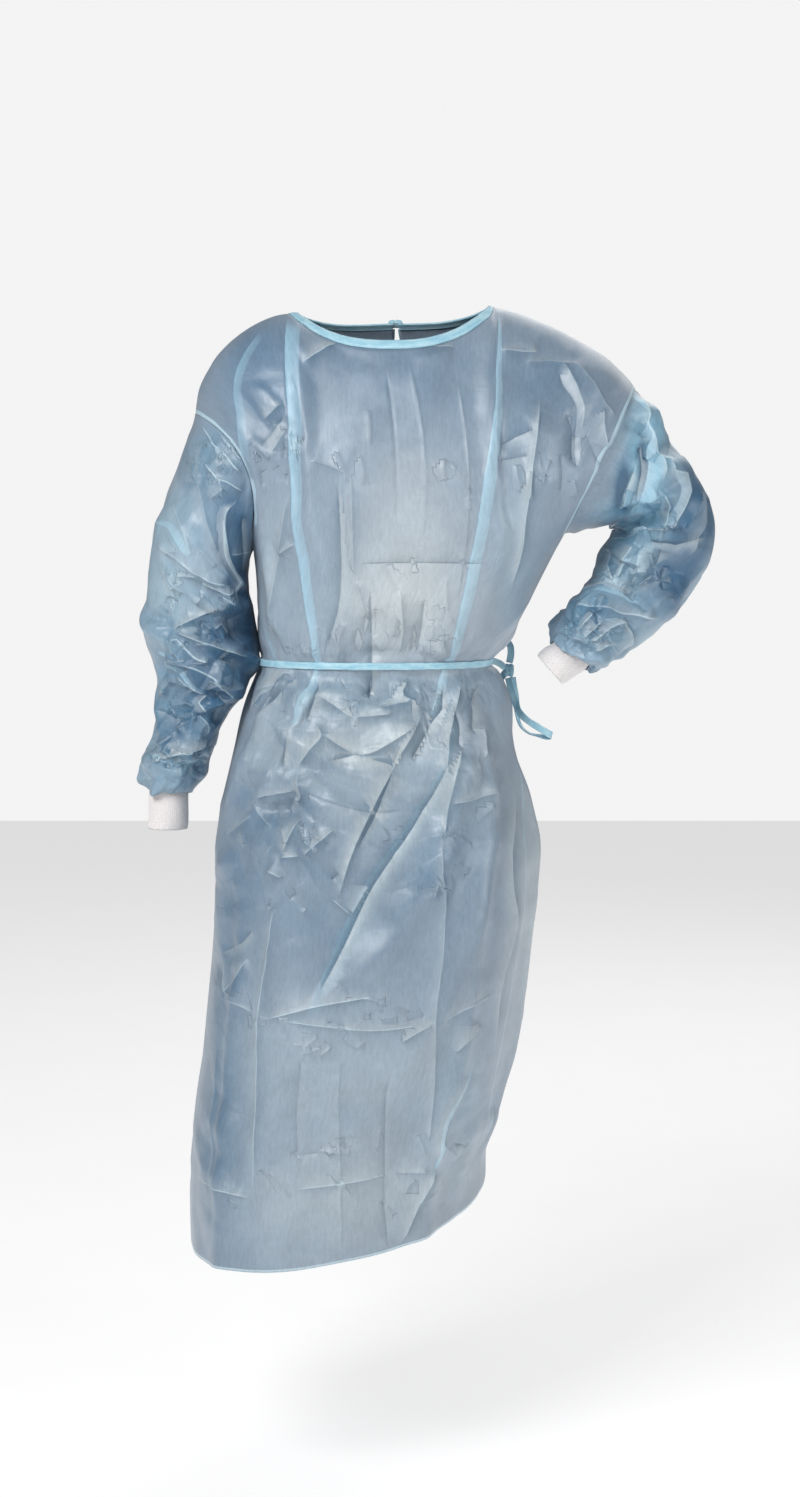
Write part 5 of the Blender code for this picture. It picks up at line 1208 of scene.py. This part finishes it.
# Tape -----------------------------------------------------
TAPE_ACROSS = 8  # steps across a tape
TAPE_FINE = 0.0016  # length of its steps
TAPE_STEPS = 6  # steps between two places of a stretch of tape
TAPE_CROWN = 0.00025  # how much fuller a tape is in its middle
TAPE_PLEAT = 0.0006  # how high it is pleated where it is crumpled
BINDING_WAVE = 0.00018  # how far the binding's roll is uneven
BINDING_LENGTH = 0.56  # length of the binding as it is laid
NECK_STEPS = (70, 150)  # places round the neck on each back and on the front
BELT_STEPS = (150, 70, 16)  # places round the front, the right back and the left back
KNOT_CUTS = 11  # steps of a knot's mesh
KNOT_ROUND = 0.55  # how far its block is drawn to a ball
KNOT_PINCH = 0.16  # how much it is pinched in its middle
KNOT_TURNS = 0.05  # how much its turns of tape stand out
UPRIGHT = ((1, 0, 0), (0, 1, 0), (0, 0, 1))


def strip(name, stretch, mat, crumple=0.0, seed=1):
    """Flat tape along the middle line of its outer face, with its width's direction and normal."""
    points = stretch[0]
    length = np.concatenate([[0.0], np.cumsum(np.linalg.norm(np.diff(points, axis=0), axis=1))])
    bm, u, v = grid(max(int(length[-1] / TAPE_FINE), 6), TAPE_ACROSS)
    at = u * length[-1]
    middle, wide, normal = (np.stack([curve(length, values[:, k], at) for k in range(3)], axis=-1)
                            for values in stretch)
    side = v - 0.5
    wave = np.random.default_rng(seed).uniform(0, 6, 3)
    narrow = 1.0 - crumple * (0.5 + 0.5 * np.sin(at * 210 + wave[0]) * np.sin(at * 97 + wave[1]))
    pleat = crumple * TAPE_PLEAT * np.sin(side * 22 + at * 160 + wave[2])
    lift = TAPE_CROWN * (1 - (2 * side) ** 2) + pleat
    point = middle + wide * (side * TAPE_WIDTH * narrow)[:, None] + normal * lift[:, None]
    laid = stack(at, side * TAPE_WIDTH, 0.0)
    return finished(name, bm, point, normal, laid, mat, TAPE)


def squared(path, wide):
    """The path, its width's direction made square to it, and its normal."""
    tangent = unit(np.gradient(path, axis=0))
    wide = unit(wide - tangent * np.sum(wide * tangent, axis=-1, keepdims=True))
    return path, wide, unit(np.cross(wide, tangent))


def free_stretch(bends):
    """Smooth stretch of tape through a table of bends."""
    column = [through(values, TAPE_STEPS) for values in zip(*bends)]
    return squared(np.stack(column[:3], axis=-1), np.stack(column[3:], axis=-1))


def resting_stretch(rests, start=(), inner=False):
    """Stretch of tape that lies on the back, after any free starting points."""
    across, drop = (through(values, TAPE_STEPS) for values in zip(*rests))
    point, normal = body(across, level(drop), True, inner)
    resting = point + normal * (LAY_OFF + TAPE)
    free = np.array(start).reshape(-1, 3)
    if len(free):
        knots = np.concatenate([free, resting[:2]])
        reach = np.linspace(0, len(free), len(free) * TAPE_STEPS + 1)[:-1]
        free = np.stack([curve(np.arange(len(knots)), knots[:, k], reach) for k in range(3)], -1)
    path = np.concatenate([free, resting])
    facing = np.concatenate([np.repeat(normal[:1], len(free), axis=0), normal])
    return squared(path, np.cross(unit(np.gradient(path, axis=0)), facing))


def belt_stretch():
    """Belt from the knot across the front and round the back to the knot again."""
    down = float(level(BELT_DOWN))
    ends = ((1.0, -1.0), (-1.0, LAP), (LAP, BELT_LEAVES))
    front, right, left = (np.linspace(*run, steps) for run, steps in zip(ends, BELT_STEPS))
    step = TAPE_WIDTH / 2 / (HEM_DOWN - ARMPIT_DOWN)
    parts = [free_stretch(BELT_TO_KNOT[::-1])]
    for columns, back in ((front, False), (right[1:], True), (left[1:], True)):
        normal = body(columns, down, back)[1]
        upper = body(columns, down - step, back)[0]
        lower = body(columns, down + step, back)[0]
        parts.append(((upper + lower) / 2 + normal * (SEAM_GAP + TAPE), unit(lower - upper), normal))
    parts.append(free_stretch(BELT_FROM_KNOT[::-1]))
    point, wide, normal = (np.concatenate(same) for same in zip(*parts))
    for vectors in (wide, normal):
        for spot in range(1, len(vectors)):
            if vectors[spot] @ vectors[spot - 1] < 0:
                vectors[spot] *= -1
    return point, wide, normal


def knot_piece(name, centre, axes, size, mat, seed):
    """Pulled-tight knot: turns of tape over one another."""
    bm = bmesh.new()
    bmesh.ops.create_cube(bm, size=1.0)
    bmesh.ops.subdivide_edges(bm, edges=bm.edges[:], cuts=KNOT_CUTS, use_grid_fill=True)
    half = np.array([v.co[:] for v in bm.verts]) * 2
    ball = half / np.linalg.norm(half, axis=1, keepdims=True) * np.max(np.abs(half), axis=1, keepdims=True)
    shape = mix(half, ball, KNOT_ROUND) / 2
    pinch = 1.0 - KNOT_PINCH * np.exp(-(shape[:, 0] / 0.10) ** 2)
    wave = np.random.default_rng(seed).uniform(0, 6, 3)
    turn = np.sin(shape[:, 0] * 17 + shape[:, 1] * 7 + wave[0]) * np.sin(shape[:, 2] * 13 + wave[1])
    shape = shape * (pinch + KNOT_TURNS * turn)[:, None]
    local = shape * np.array(size)
    axes = np.array(axes, dtype=float)
    points = np.array(centre, dtype=float) + local @ axes
    normals = shape @ axes / np.linalg.norm(shape, axis=1, keepdims=True)
    laid = stack(local[:, 0] + local[:, 1], local[:, 2], 0.0)
    return finished(name, bm, points, normals, laid, mat)


def neck_ring():
    """Places across along the neck, from the right opening round to the left, and whether each
    is on the back."""
    right_end, left_end = NECK_CORNERS
    bend = np.linspace(0.0, np.pi, NECK_STEPS[1])
    front = mix(right_end, left_end, (1 - np.cos(bend)) / 2)
    ease = np.sin(np.linspace(0.0, np.pi / 2, NECK_STEPS[0]))
    right = mix(-NECK_OPENING, right_end, ease)[:-1]
    left = mix(NECK_OPENING, left_end, ease)[-2::-1]
    across = np.concatenate([right, front, left])
    return across, np.repeat([True, False, True], [len(right), len(front), len(left)])


def binding_piece(name, mat):
    """Folded tape over the neck edge, rolled at its free edge and stitched near its seam."""
    across, on_back = neck_ring()
    bm, u, v = grid(len(across) - 1, TAPE_ACROSS)
    column = np.round(u * (len(across) - 1)).astype(int)
    line = np.round(v * TAPE_ACROSS).astype(int)
    point, normal = np.zeros((len(u), 3)), np.zeros((len(u), 3))
    for back in (False, True):
        outside = neck_size(across, back, 1.0)[0]
        lean = np.sqrt(np.clip(1.0 - (across / outside) ** 2, 0.0, 1.0))
        for order, share in enumerate(np.linspace(0.0, 1.0 - SEAM_GAP / TAPE_WIDTH, TAPE_ACROSS + 1)):
            neck, cut = neck_size(across, back, share)
            laid_point, laid_normal = body(across / outside * neck, cut * lean, back)
            mine = (line == order) & (on_back[column] == back)
            point[mine], normal[mine] = laid_point[column[mine]], laid_normal[column[mine]]
    crown = BINDING_PROUD + TAPE_CROWN * 2 * (1 - (2 * v - 1) ** 2)
    wave = BINDING_WAVE * np.sin(u * 170) * np.sin(u * 71 + 1)
    point = point + normal * (crown + wave)[:, None]
    laid = stack(u * BINDING_LENGTH, (v - 0.5) * TAPE_WIDTH, 0.0)
    return finished(name, bm, point, normal, laid, mat, CLOTH + 2 * BINDING_PROUD)


# Materials ------------------------------------------------
def linear(hex_colour):
    """Linear colour of an sRGB hex value."""
    parts = [int(hex_colour[k:k + 2], 16) / 255 for k in (1, 3, 5)]
    return [p / 12.92 if p <= 0.04045 else ((p + 0.055) / 1.055) ** 2.4 for p in parts] + [1.0]


class Value:
    """A node's output that is reckoned with like a number, in nodes of its own."""

    def __init__(self, socket):
        self.socket = socket
        self.tree = socket.id_data

    def math(self, operation, *others):
        return add_node(self.tree, "Math", {0: self, **dict(enumerate(others, 1))}, operation=operation)[0]

    def __add__(self, other):
        return self.math("ADD", other)

    def __sub__(self, other):
        return self.math("SUBTRACT", other)

    def __mul__(self, other):
        return self.math("MULTIPLY", other)

    def __abs__(self):
        return self.math("ABSOLUTE")

    def above_zero(self):
        return self.math("MAXIMUM", 0.0)

    def at_most_one(self):
        return self.math("MINIMUM", 1.0)

    def ramp(self, start, end, low=0.0, high=1.0):
        """Smooth step from start to end."""
        return add_node(self.tree, "MapRange", {0: self, 1: start, 2: end, 3: low, 4: high},
                        interpolation_type="SMOOTHSTEP")[0]

    def noise(self, scale, detail=2.0, roughness=0.5, seed=0.0):
        """Noise with features of 1 / scale metres at these places."""
        moved = add_node(self.tree, "Mapping", {"Vector": self, "Scale": scale,
                                                "Location": (seed, seed * 0.7, seed * 0.3)})[0]
        return add_node(self.tree, "TexNoise", {"Vector": moved, "Scale": 1.0, "Detail": detail,
                                                "Roughness": roughness})[0]

    def split(self):
        return add_node(self.tree, "SeparateXYZ", {0: self})


def feed(socket, value):
    """Sets an input, or links it to a node's output."""
    if isinstance(value, Value):
        socket.id_data.links.new(value.socket, socket)
    else:
        socket.default_value = value


def add_node(tree, kind, inputs, **settings):
    """Outputs of a new node."""
    node = tree.nodes.new("ShaderNode" + kind)
    for name, value in settings.items():
        setattr(node, name, value)
    for name, value in inputs.items():
        feed(node.inputs[name], value)
    return [Value(socket) for socket in node.outputs]


def blend(tree, share, low, high, kind="MIX"):
    """Colour between low and high."""
    return add_node(tree, "Mix", {0: share, 6: low, 7: high}, data_type="RGBA", blend_type=kind)[2]


def attribute(tree, name):
    """Colour, vector, factor and alpha of a mesh attribute."""
    return add_node(tree, "Attribute", {}, attribute_name=name)


def new_material(name, **constants):
    """Material, its nodes and its shader with these constants."""
    mat = bpy.data.materials.new(name)
    mat.use_nodes = True
    shader = mat.node_tree.nodes["Principled BSDF"]
    for key, value in constants.items():
        shader.inputs[key.replace("_", " ")].default_value = value
    return mat, mat.node_tree, shader


def dress(shader, colour, roughness, height, strength):
    """Joins the colour, roughness and height in mm to the shader."""
    bump = add_node(shader.id_data, "Bump", {"Strength": strength, "Distance": MM, "Height": height})[0]
    for name, value in (("Base Color", colour), ("Roughness", roughness), ("Normal", bump)):
        feed(shader.inputs[name], value)


# Crushed facets of the film: turn, cells to a metre across and down, seed, and height in mm
Crush = namedtuple("Crush", "turn wide tall seed rise")
CRUSHES = (Crush(0.5, 20.0, 30.0, 0.0, 6.0), Crush(-0.7, 50.0, 34.0, 4.0, 1.8),
           Crush(0.2, 80.0, 110.0, 7.0, 0.6))


def film_facets(laid, crush):
    """Height of one size of the film's facets, flat between straight sharp ridges."""
    warp = laid.noise((18.0, 18.0, 18.0), 1.0, 0.5, 9.0) * 0.8
    moved = add_node(laid.tree, "Mapping", {
        "Vector": laid, "Scale": (crush.wide, crush.wide, crush.tall), "Location": (crush.seed,) * 3,
        "Rotation": (0.0, crush.turn, 0.0)})[0]
    bent = add_node(laid.tree, "VectorMath", {0: moved, 1: warp}, operation="ADD")[0]
    cell = add_node(laid.tree, "TexVoronoi", {"Vector": bent, "Scale": 1.0}, feature="DISTANCE_TO_EDGE")
    return cell[0] * crush.rise


def coated_nonwoven(colours):
    """Spunbond polypropylene with a thin extruded polyethylene film.

    The film gives the soft gloss; the sharp pale crests of its creases are painted highlight, with
    some whitening of the film. The bonded fibres below it give the upright cloudy streaks. Doubled
    cloth shows bluer.
    """
    mat, tree, shader = new_material("coated_spunbond_polypropylene", IOR=1.50, Coat_Weight=0.28,
                                     Coat_Roughness=0.36, Coat_IOR=1.5, Sheen_Weight=0.10,
                                     Sheen_Roughness=0.5)
    names = ("cloth", "pale", "doubled", "deep", "white_and_painted_glint", "shadow")
    base, pale, doubled, deep, white_and_painted_glint, shadow = (linear(getattr(colours, name)) for name in names)
    laid = attribute(tree, "laid")[1]
    tone, _, _, crumple = attribute(tree, "tone")
    paler_and_painted_light, deeper_and_painted_shade, bluer = add_node(tree, "SeparateColor", {0: tone})

    # upright fibre streaks about 3 mm wide, drawn coarser than the fibres so that they show
    streak = laid.noise((300.0, 300.0, 75.0), 4.0, 0.6)
    cloud = laid.noise((26.0, 26.0, 15.0), 3.0, 0.55, 3.0)
    fleck = laid.noise((900.0, 900.0, 600.0), 2.0, 0.6, 5.0)
    height = streak * 0.10 + fleck * 0.05 + cloud * 0.35

    # broad tones with their painted light and shade, then bands of doubled cloth with a line of painted
    # shade along their edges
    inside, blue, clear = attribute(tree, "band")[1].split()
    within = inside.ramp(-0.3, 0.6)
    # painted shade along a band's edge
    band_edge_shade = abs(inside).ramp(0.0, 1.1, 1.0, 0.0) * (blue + clear) * 0.20
    for share, colour in ((paler_and_painted_light.at_most_one(), pale), (bluer.at_most_one(), doubled),
                          (deeper_and_painted_shade.at_most_one(), deep), (within * blue, doubled),
                          (within * clear, white_and_painted_glint), (band_edge_shade, deep)):
        base = blend(tree, share, base, colour)

    # creases: painted light on one flank and painted shade on the other, a cusp, and a thin line on
    # the crest: pale as painted highlight with some whitening of the film, or dark as painted shade
    for name in ("fold_a", "fold_b"):
        fold, _, _, light = attribute(tree, name)
        away, shade, sharpness = fold.split()
        flank = away.ramp(-0.7, 0.7, -1.0, 1.0) * light * 0.55
        line = abs(away).ramp(0.2, 1.2, 1.0, 0.0)
        cusp = (abs(away) * -0.18 + 1.0).above_zero()
        height = height + cusp.math("POWER", 2.0) * sharpness * 2.6
        for share, colour in ((flank.above_zero(), pale), ((flank * -1.1).above_zero(), shadow),
                              (line * shade.above_zero(), white_and_painted_glint),
                              (line * (shade * -1.0).above_zero(), shadow)):
            base = blend(tree, share, base, colour)

    for crush in CRUSHES:
        height = height + film_facets(laid, crush) * crumple.at_most_one()
    mottle = (streak.ramp(0.30, 0.70, 0.93, 1.06) + cloud.ramp(0.25, 0.75, -0.07, 0.07)
              + fleck.ramp(0.3, 0.7, -0.03, 0.03))
    grey = add_node(tree, "CombineColor", {0: mottle, 1: mottle, 2: mottle})[0]
    base = blend(tree, 1.0, base, grey, "MULTIPLY")
    dress(shader, base, cloud.ramp(0.2, 0.8, 0.50, 0.38), height, 1.0)
    return mat


def folded_tape(colours):
    """The same cloth slit, folded twice and sewn, so it reads bluer and denser with fine ribs."""
    mat, tree, shader = new_material("folded_spunbond_tape", IOR=1.50, Coat_Weight=0.08,
                                     Coat_Roughness=0.4, Sheen_Weight=0.10)
    laid = attribute(tree, "laid")[1]
    along, aside, _ = laid.split()
    cloud = laid.noise((60.0, 160.0, 60.0), 3.0, 0.6)
    fibre = laid.noise((420.0, 1400.0, 420.0), 2.0, 0.6, 2.0)
    base = blend(tree, cloud.ramp(0.3, 0.7), linear(colours.tape), linear(colours.tape_pale))
    # a row of lock stitch 2.9 mm from the middle on both sides, a stitch each 3 mm
    beat = (along * 333.0).math("FRACT")
    thread = abs(abs(aside) - 0.0029).ramp(0.0002, 0.0005, 1.0, 0.0) * beat.ramp(0.72, 0.82, 1.0, 0.0)
    base = blend(tree, thread * 0.7, base, linear(colours.white_and_painted_glint))
    height = cloud * 0.5 + fibre * 0.12 - thread * 0.25
    dress(shader, base, fibre.ramp(0.3, 0.7, 0.42, 0.56), height, 0.7)
    return mat


def ribbed_knit(colours):
    """Bleached cotton and polyester rib, circular knitted: matt, soft, with loops about 1 mm long."""
    mat, tree, shader = new_material("bleached_rib_knit", IOR=1.45, Sheen_Weight=0.35,
                                     Sheen_Roughness=0.6)
    laid = attribute(tree, "laid")[1]
    loops = (laid.split()[2] * 5200.0).math("SINE")
    fluff = laid.noise((900.0, 900.0, 900.0), 3.0, 0.6)
    broad = laid.noise((60.0, 60.0, 60.0), 2.0, 0.5, 4.0)
    shade = linear(colours.knit_shade)
    base = blend(tree, fluff.ramp(0.3, 0.75), linear(colours.knit), shade)
    base = blend(tree, broad.ramp(0.55, 0.8, 0.0, 0.35), base, shade)
    dress(shader, base, 0.9, loops * 0.10 + fluff * 0.20, 0.6)
    return mat


def matt_paper(colours):
    """Seamless background paper: matt, with barely a tooth, and lit up a little by the room."""
    mat, tree, shader = new_material("pale_background_paper", Roughness=0.95, IOR=1.45,
                                     Emission_Color=(1.0, 1.0, 1.0, 1.0), Emission_Strength=0.66)
    tooth = Value(tree.nodes.new("ShaderNodeTexCoord").outputs["Object"]).noise((8.0, 8.0, 8.0), 2.0)
    feed(shader.inputs["Base Color"],
         blend(tree, tooth, linear(colours.floor), linear(colours.floor_shade)))
    return mat


def material(name, make):
    """The material of that name, made once."""
    return bpy.data.materials.get(name) or make(bpy.context.scene.gown_colours)


cloth = partial(material, "coated_spunbond_polypropylene", coated_nonwoven)
tape_cloth = partial(material, "folded_spunbond_tape", folded_tape)
knit = partial(material, "bleached_rib_knit", ribbed_knit)
paper = partial(material, "pale_background_paper", matt_paper)


# Panel, settings and operators ----------------------------
def colour_property(name, description, default):
    return bpy.props.StringProperty(name=name, description=description, default=default, maxlen=7)


def power_property(name, description, default):
    return bpy.props.FloatProperty(name=name, description=description, default=default, min=0.0,
                                   subtype="POWER", unit="POWER")


class GownColours(bpy.types.PropertyGroup):
    """Colours of the gown as sRGB hex values."""
    cloth: colour_property("Cloth", "Coated cloth, one layer", "#8B9CAD")
    # painted light: sheen and light through the cloth in broad zones, the lit flanks of creases and lighter
    # facets
    pale: colour_property("Pale cloth", "Cloth that the light reaches through", "#CCD4D6")
    doubled: colour_property("Doubled cloth", "Cloth in tucks and seams", "#98CDE6")
    # layered cloth, and painted shade in folds, where the sleeves hang by the body, along band edges and on
    # darker facets
    deep: colour_property("Deep cloth", "Cloth in several layers and shade", "#3B6687")
    # white thread, whitish hems and seams, and the crests of creases, where it is painted highlight with some
    # whitening of the film
    white_and_painted_glint: colour_property("Crests", "Sharp crests of creases", "#CFE6F0")
    shadow: colour_property("Troughs", "Sharp troughs of creases", "#43637B")
    tape: colour_property("Tape", "Folded tape", "#8FC4DA")
    tape_pale: colour_property("Tape, pale", "Folded tape where it is stretched", "#B4DDEA")
    knit: colour_property("Knit", "Ribbed cuffs", "#F6F2F1")
    knit_shade: colour_property("Knit, shaded", "Ribbed cuffs between the loops", "#DDD8D8")
    floor: colour_property("Floor", "Background paper", "#BDBDBE")
    floor_shade: colour_property("Floor, shaded", "Background paper", "#B6B6B8")


class GownSizes(bpy.types.PropertyGroup):
    """Sizes that a user would change."""
    floor_drop: bpy.props.FloatProperty(name="Floor", description="Drop of the floor below the origin",
                                        default=1.42, min=1.2, subtype="DISTANCE", unit="LENGTH")
    key_power: power_property("Key light", "Power of the main softbox", 90.0)
    fill_power: power_property("Fill light", "Power of the fill softbox", 24.0)
    rear_power: power_property("Rear light", "Power of the softbox behind", 42.0)
    sky: bpy.props.FloatProperty(name="Surround", description="Strength of the pale surround",
                                 default=0.10, min=0.0)


def stand_for(piece, node):
    """The piece takes the node's place: the node's part is hidden."""
    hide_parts(node)


class GOWN_OT_front(bpy.types.Operator):
    """Makes the creased front panel"""
    bl_idname = "gown.front"
    bl_label = "Front panel"

    def execute(self, context):
        piece = panel_piece("front_cloth", FRONT, -1.0, 1.0, NECK_CORNERS, cloth())
        stand_for(piece, "front_panel")
        return {"FINISHED"}


class GOWN_OT_backs(bpy.types.Operator):
    """Makes the two creased back panels that lap"""
    bl_idname = "gown.backs"
    bl_label = "Back panels"

    def execute(self, context):
        for side, sign, corner in zip(("right", "left"), (-1.0, 1.0), NECK_CORNERS):
            piece = panel_piece("back_cloth_" + side, BACK, sign, sign * NECK_OPENING, (corner,), cloth())
            stand_for(piece, "back_panel_" + side)
        return {"FINISHED"}


class GOWN_OT_sleeves(bpy.types.Operator):
    """Makes the two creased sleeves, gathered at their ends"""
    bl_idname = "gown.sleeves"
    bl_label = "Sleeves"

    def execute(self, context):
        for side, seed in (("right", 51), ("left", 61)):
            piece = sleeve_piece("sleeve_cloth_" + side, side, seed, cloth())
            stand_for(piece, "sleeve_" + side)
        return {"FINISHED"}


class GOWN_OT_cuffs(bpy.types.Operator):
    """Makes the two ribbed cuffs"""
    bl_idname = "gown.cuffs"
    bl_label = "Cuffs"

    def execute(self, context):
        for side in ("right", "left"):
            piece = cuff_piece("cuff_knit_" + side, side, knit())
            stand_for(piece, "cuff_" + side)
        return {"FINISHED"}


class GOWN_OT_neck(bpy.types.Operator):
    """Makes the neck binding and its tie at the nape"""
    bl_idname = "gown.neck"
    bl_label = "Neck binding and tie"

    def execute(self, context):
        stand_for(binding_piece("neck_binding_tape", tape_cloth()), "neck_binding")
        point, normal = body(np.array(0.0), np.array(BACK_NECK_CUT), True)
        sideways = np.array([1.0, 0.0, 0.0])
        away = unit(np.cross(normal, sideways))
        height = NECK_KNOT_SIZE[2] / 2 + BINDING_PROUD + SEAM_GAP
        centre = point + normal * height + away * TAPE_WIDTH / 2 * np.sign(away[1])
        knot = knot_piece("neck_tie_knot_tape", centre, (sideways, away, normal), NECK_KNOT_SIZE,
                          tape_cloth(), 71)
        stand_for(knot, "neck_tie_knot")
        for side, rests in NECK_ENDS.items():
            stretch = resting_stretch(rests, inner=side == "right")
            piece = strip("neck_tie_tape_" + side, stretch, tape_cloth())
            stand_for(piece, "neck_tie_" + side)
        return {"FINISHED"}


class GOWN_OT_belt(bpy.types.Operator):
    """Makes the waist belt with its knot, loop and loose ends"""
    bl_idname = "gown.belt"
    bl_label = "Belt"

    def execute(self, context):
        tape = tape_cloth()
        knot = knot_piece("belt_knot_tape", KNOT_CENTRE, UPRIGHT, KNOT_SIZE, tape, 81)
        stand_for(knot, "belt_knot")
        points, wide, normal = free_stretch(BELT_LOOP)
        loop = strip("belt_loop_tape", (points + normal * TAPE / 2, wide, normal), tape, 0.12, 3)
        stand_for(loop, "belt_loop")
        for side, rests in BELT_ENDS.items():
            stretch = resting_stretch(rests, (BELT_END_ROOTS[side], BELT_END_TURNS[side]))
            piece = strip("belt_end_tape_" + side, stretch, tape, 0.10, 5)
            stand_for(piece, "belt_end_" + side)
        stand_for(strip("waist_belt_tape", belt_stretch(), tape, 0.10, 7), "waist_belt")
        return {"FINISHED"}


FLOOR_HALF = 7.0  # half of the floor's side
LIGHTS_AIM = (0.0, 0.0, -0.55)
CAMERA_PLACE = (0.010, -3.4, -0.25)
CAMERA_AIM = (0.010, 0.0, -0.542)
SEEN_SURROUND = 0.90  # strength of the surround where the camera sees it


def add_aimed(name, data, place, aim):
    """A light or camera at a place that looks at its aim."""
    obj = bpy.data.objects.new(name, data)
    obj.location = place
    obj.rotation_euler = (Vector(aim) - Vector(place)).to_track_quat("-Z", "Y").to_euler()
    bpy.context.scene.collection.objects.link(obj)
    return obj


class GOWN_OT_stage(bpy.types.Operator):
    """Makes the floor, the surround, the softboxes and the camera"""
    bl_idname = "gown.stage"
    bl_label = "Stage"

    def execute(self, context):
        scene, sizes = context.scene, context.scene.gown_sizes
        bm = bmesh.new()
        bmesh.ops.create_grid(bm, x_segments=2, y_segments=2, size=FLOOR_HALF)
        bmesh.ops.translate(bm, verts=bm.verts[:], vec=(0.0, 0.0, -sizes.floor_drop))
        mesh = bpy.data.meshes.new("floor")
        bm.to_mesh(mesh)
        bm.free()
        mesh.materials.append(paper())
        floor = bpy.data.objects.new("floor", mesh)
        scene.collection.objects.link(floor)
        world = bpy.data.worlds.new("pale_surround")
        world.use_nodes = True
        sky = world.node_tree.nodes["Background"]
        sky.inputs["Color"].default_value = (1.0, 1.0, 1.0, 1.0)
        seen = add_node(world.node_tree, "LightPath", {})[0]
        strength = add_node(world.node_tree, "MapRange", {0: seen, 3: sizes.sky, 4: SEEN_SURROUND})[0]
        feed(sky.inputs["Strength"], strength)
        scene.world = world
        for name, place, size, power in (("key_softbox", (-1.5, -2.3, 1.6), 1.5, sizes.key_power),
                                         ("fill_softbox", (2.4, -1.6, 0.2), 1.2, sizes.fill_power),
                                         ("rear_softbox", (1.2, 2.8, 1.8), 2.4, sizes.rear_power)):
            lamp = bpy.data.lights.new(name, "AREA")
            lamp.size = size
            lamp.energy = power
            add_aimed(name, lamp, place, LIGHTS_AIM)
        lens = bpy.data.cameras.new("camera")
        lens.sensor_width = 36.0
        lens.lens = 66.0
        scene.camera = add_aimed("camera", lens, CAMERA_PLACE, CAMERA_AIM)
        scene.view_settings.view_transform = "Standard"
        return {"FINISHED"}


OPERATORS = (GOWN_OT_front, GOWN_OT_backs, GOWN_OT_sleeves, GOWN_OT_cuffs, GOWN_OT_neck, GOWN_OT_belt,
             GOWN_OT_stage)


class GOWN_PT_pieces(bpy.types.Panel):
    """Pieces and settings of the gown"""
    bl_idname = "GOWN_PT_pieces"
    bl_label = "Protective gown"
    bl_space_type = "VIEW_3D"
    bl_region_type = "UI"
    bl_category = "Gown"

    def draw(self, context):
        for operator in OPERATORS:
            self.layout.operator(operator.bl_idname)
        for settings in (context.scene.gown_sizes, context.scene.gown_colours):
            for name in settings.__annotations__:
                self.layout.prop(settings, name)


CLASSES = (GownColours, GownSizes) + OPERATORS + (GOWN_PT_pieces,)


def register():
    for cls in CLASSES:
        bpy.utils.register_class(cls)
    bpy.types.Scene.gown_colours = bpy.props.PointerProperty(type=GownColours)
    bpy.types.Scene.gown_sizes = bpy.props.PointerProperty(type=GownSizes)


def unregister():
    del bpy.types.Scene.gown_sizes
    del bpy.types.Scene.gown_colours
    for cls in reversed(CLASSES):
        bpy.utils.unregister_class(cls)


def main():
    register()
    bpy.ops.gown.stage()
    for make in (bpy.ops.gown.front, bpy.ops.gown.backs, bpy.ops.gown.sleeves, bpy.ops.gown.cuffs,
                 bpy.ops.gown.neck, bpy.ops.gown.belt):
        make()


if __name__ == "__main__":
    main()
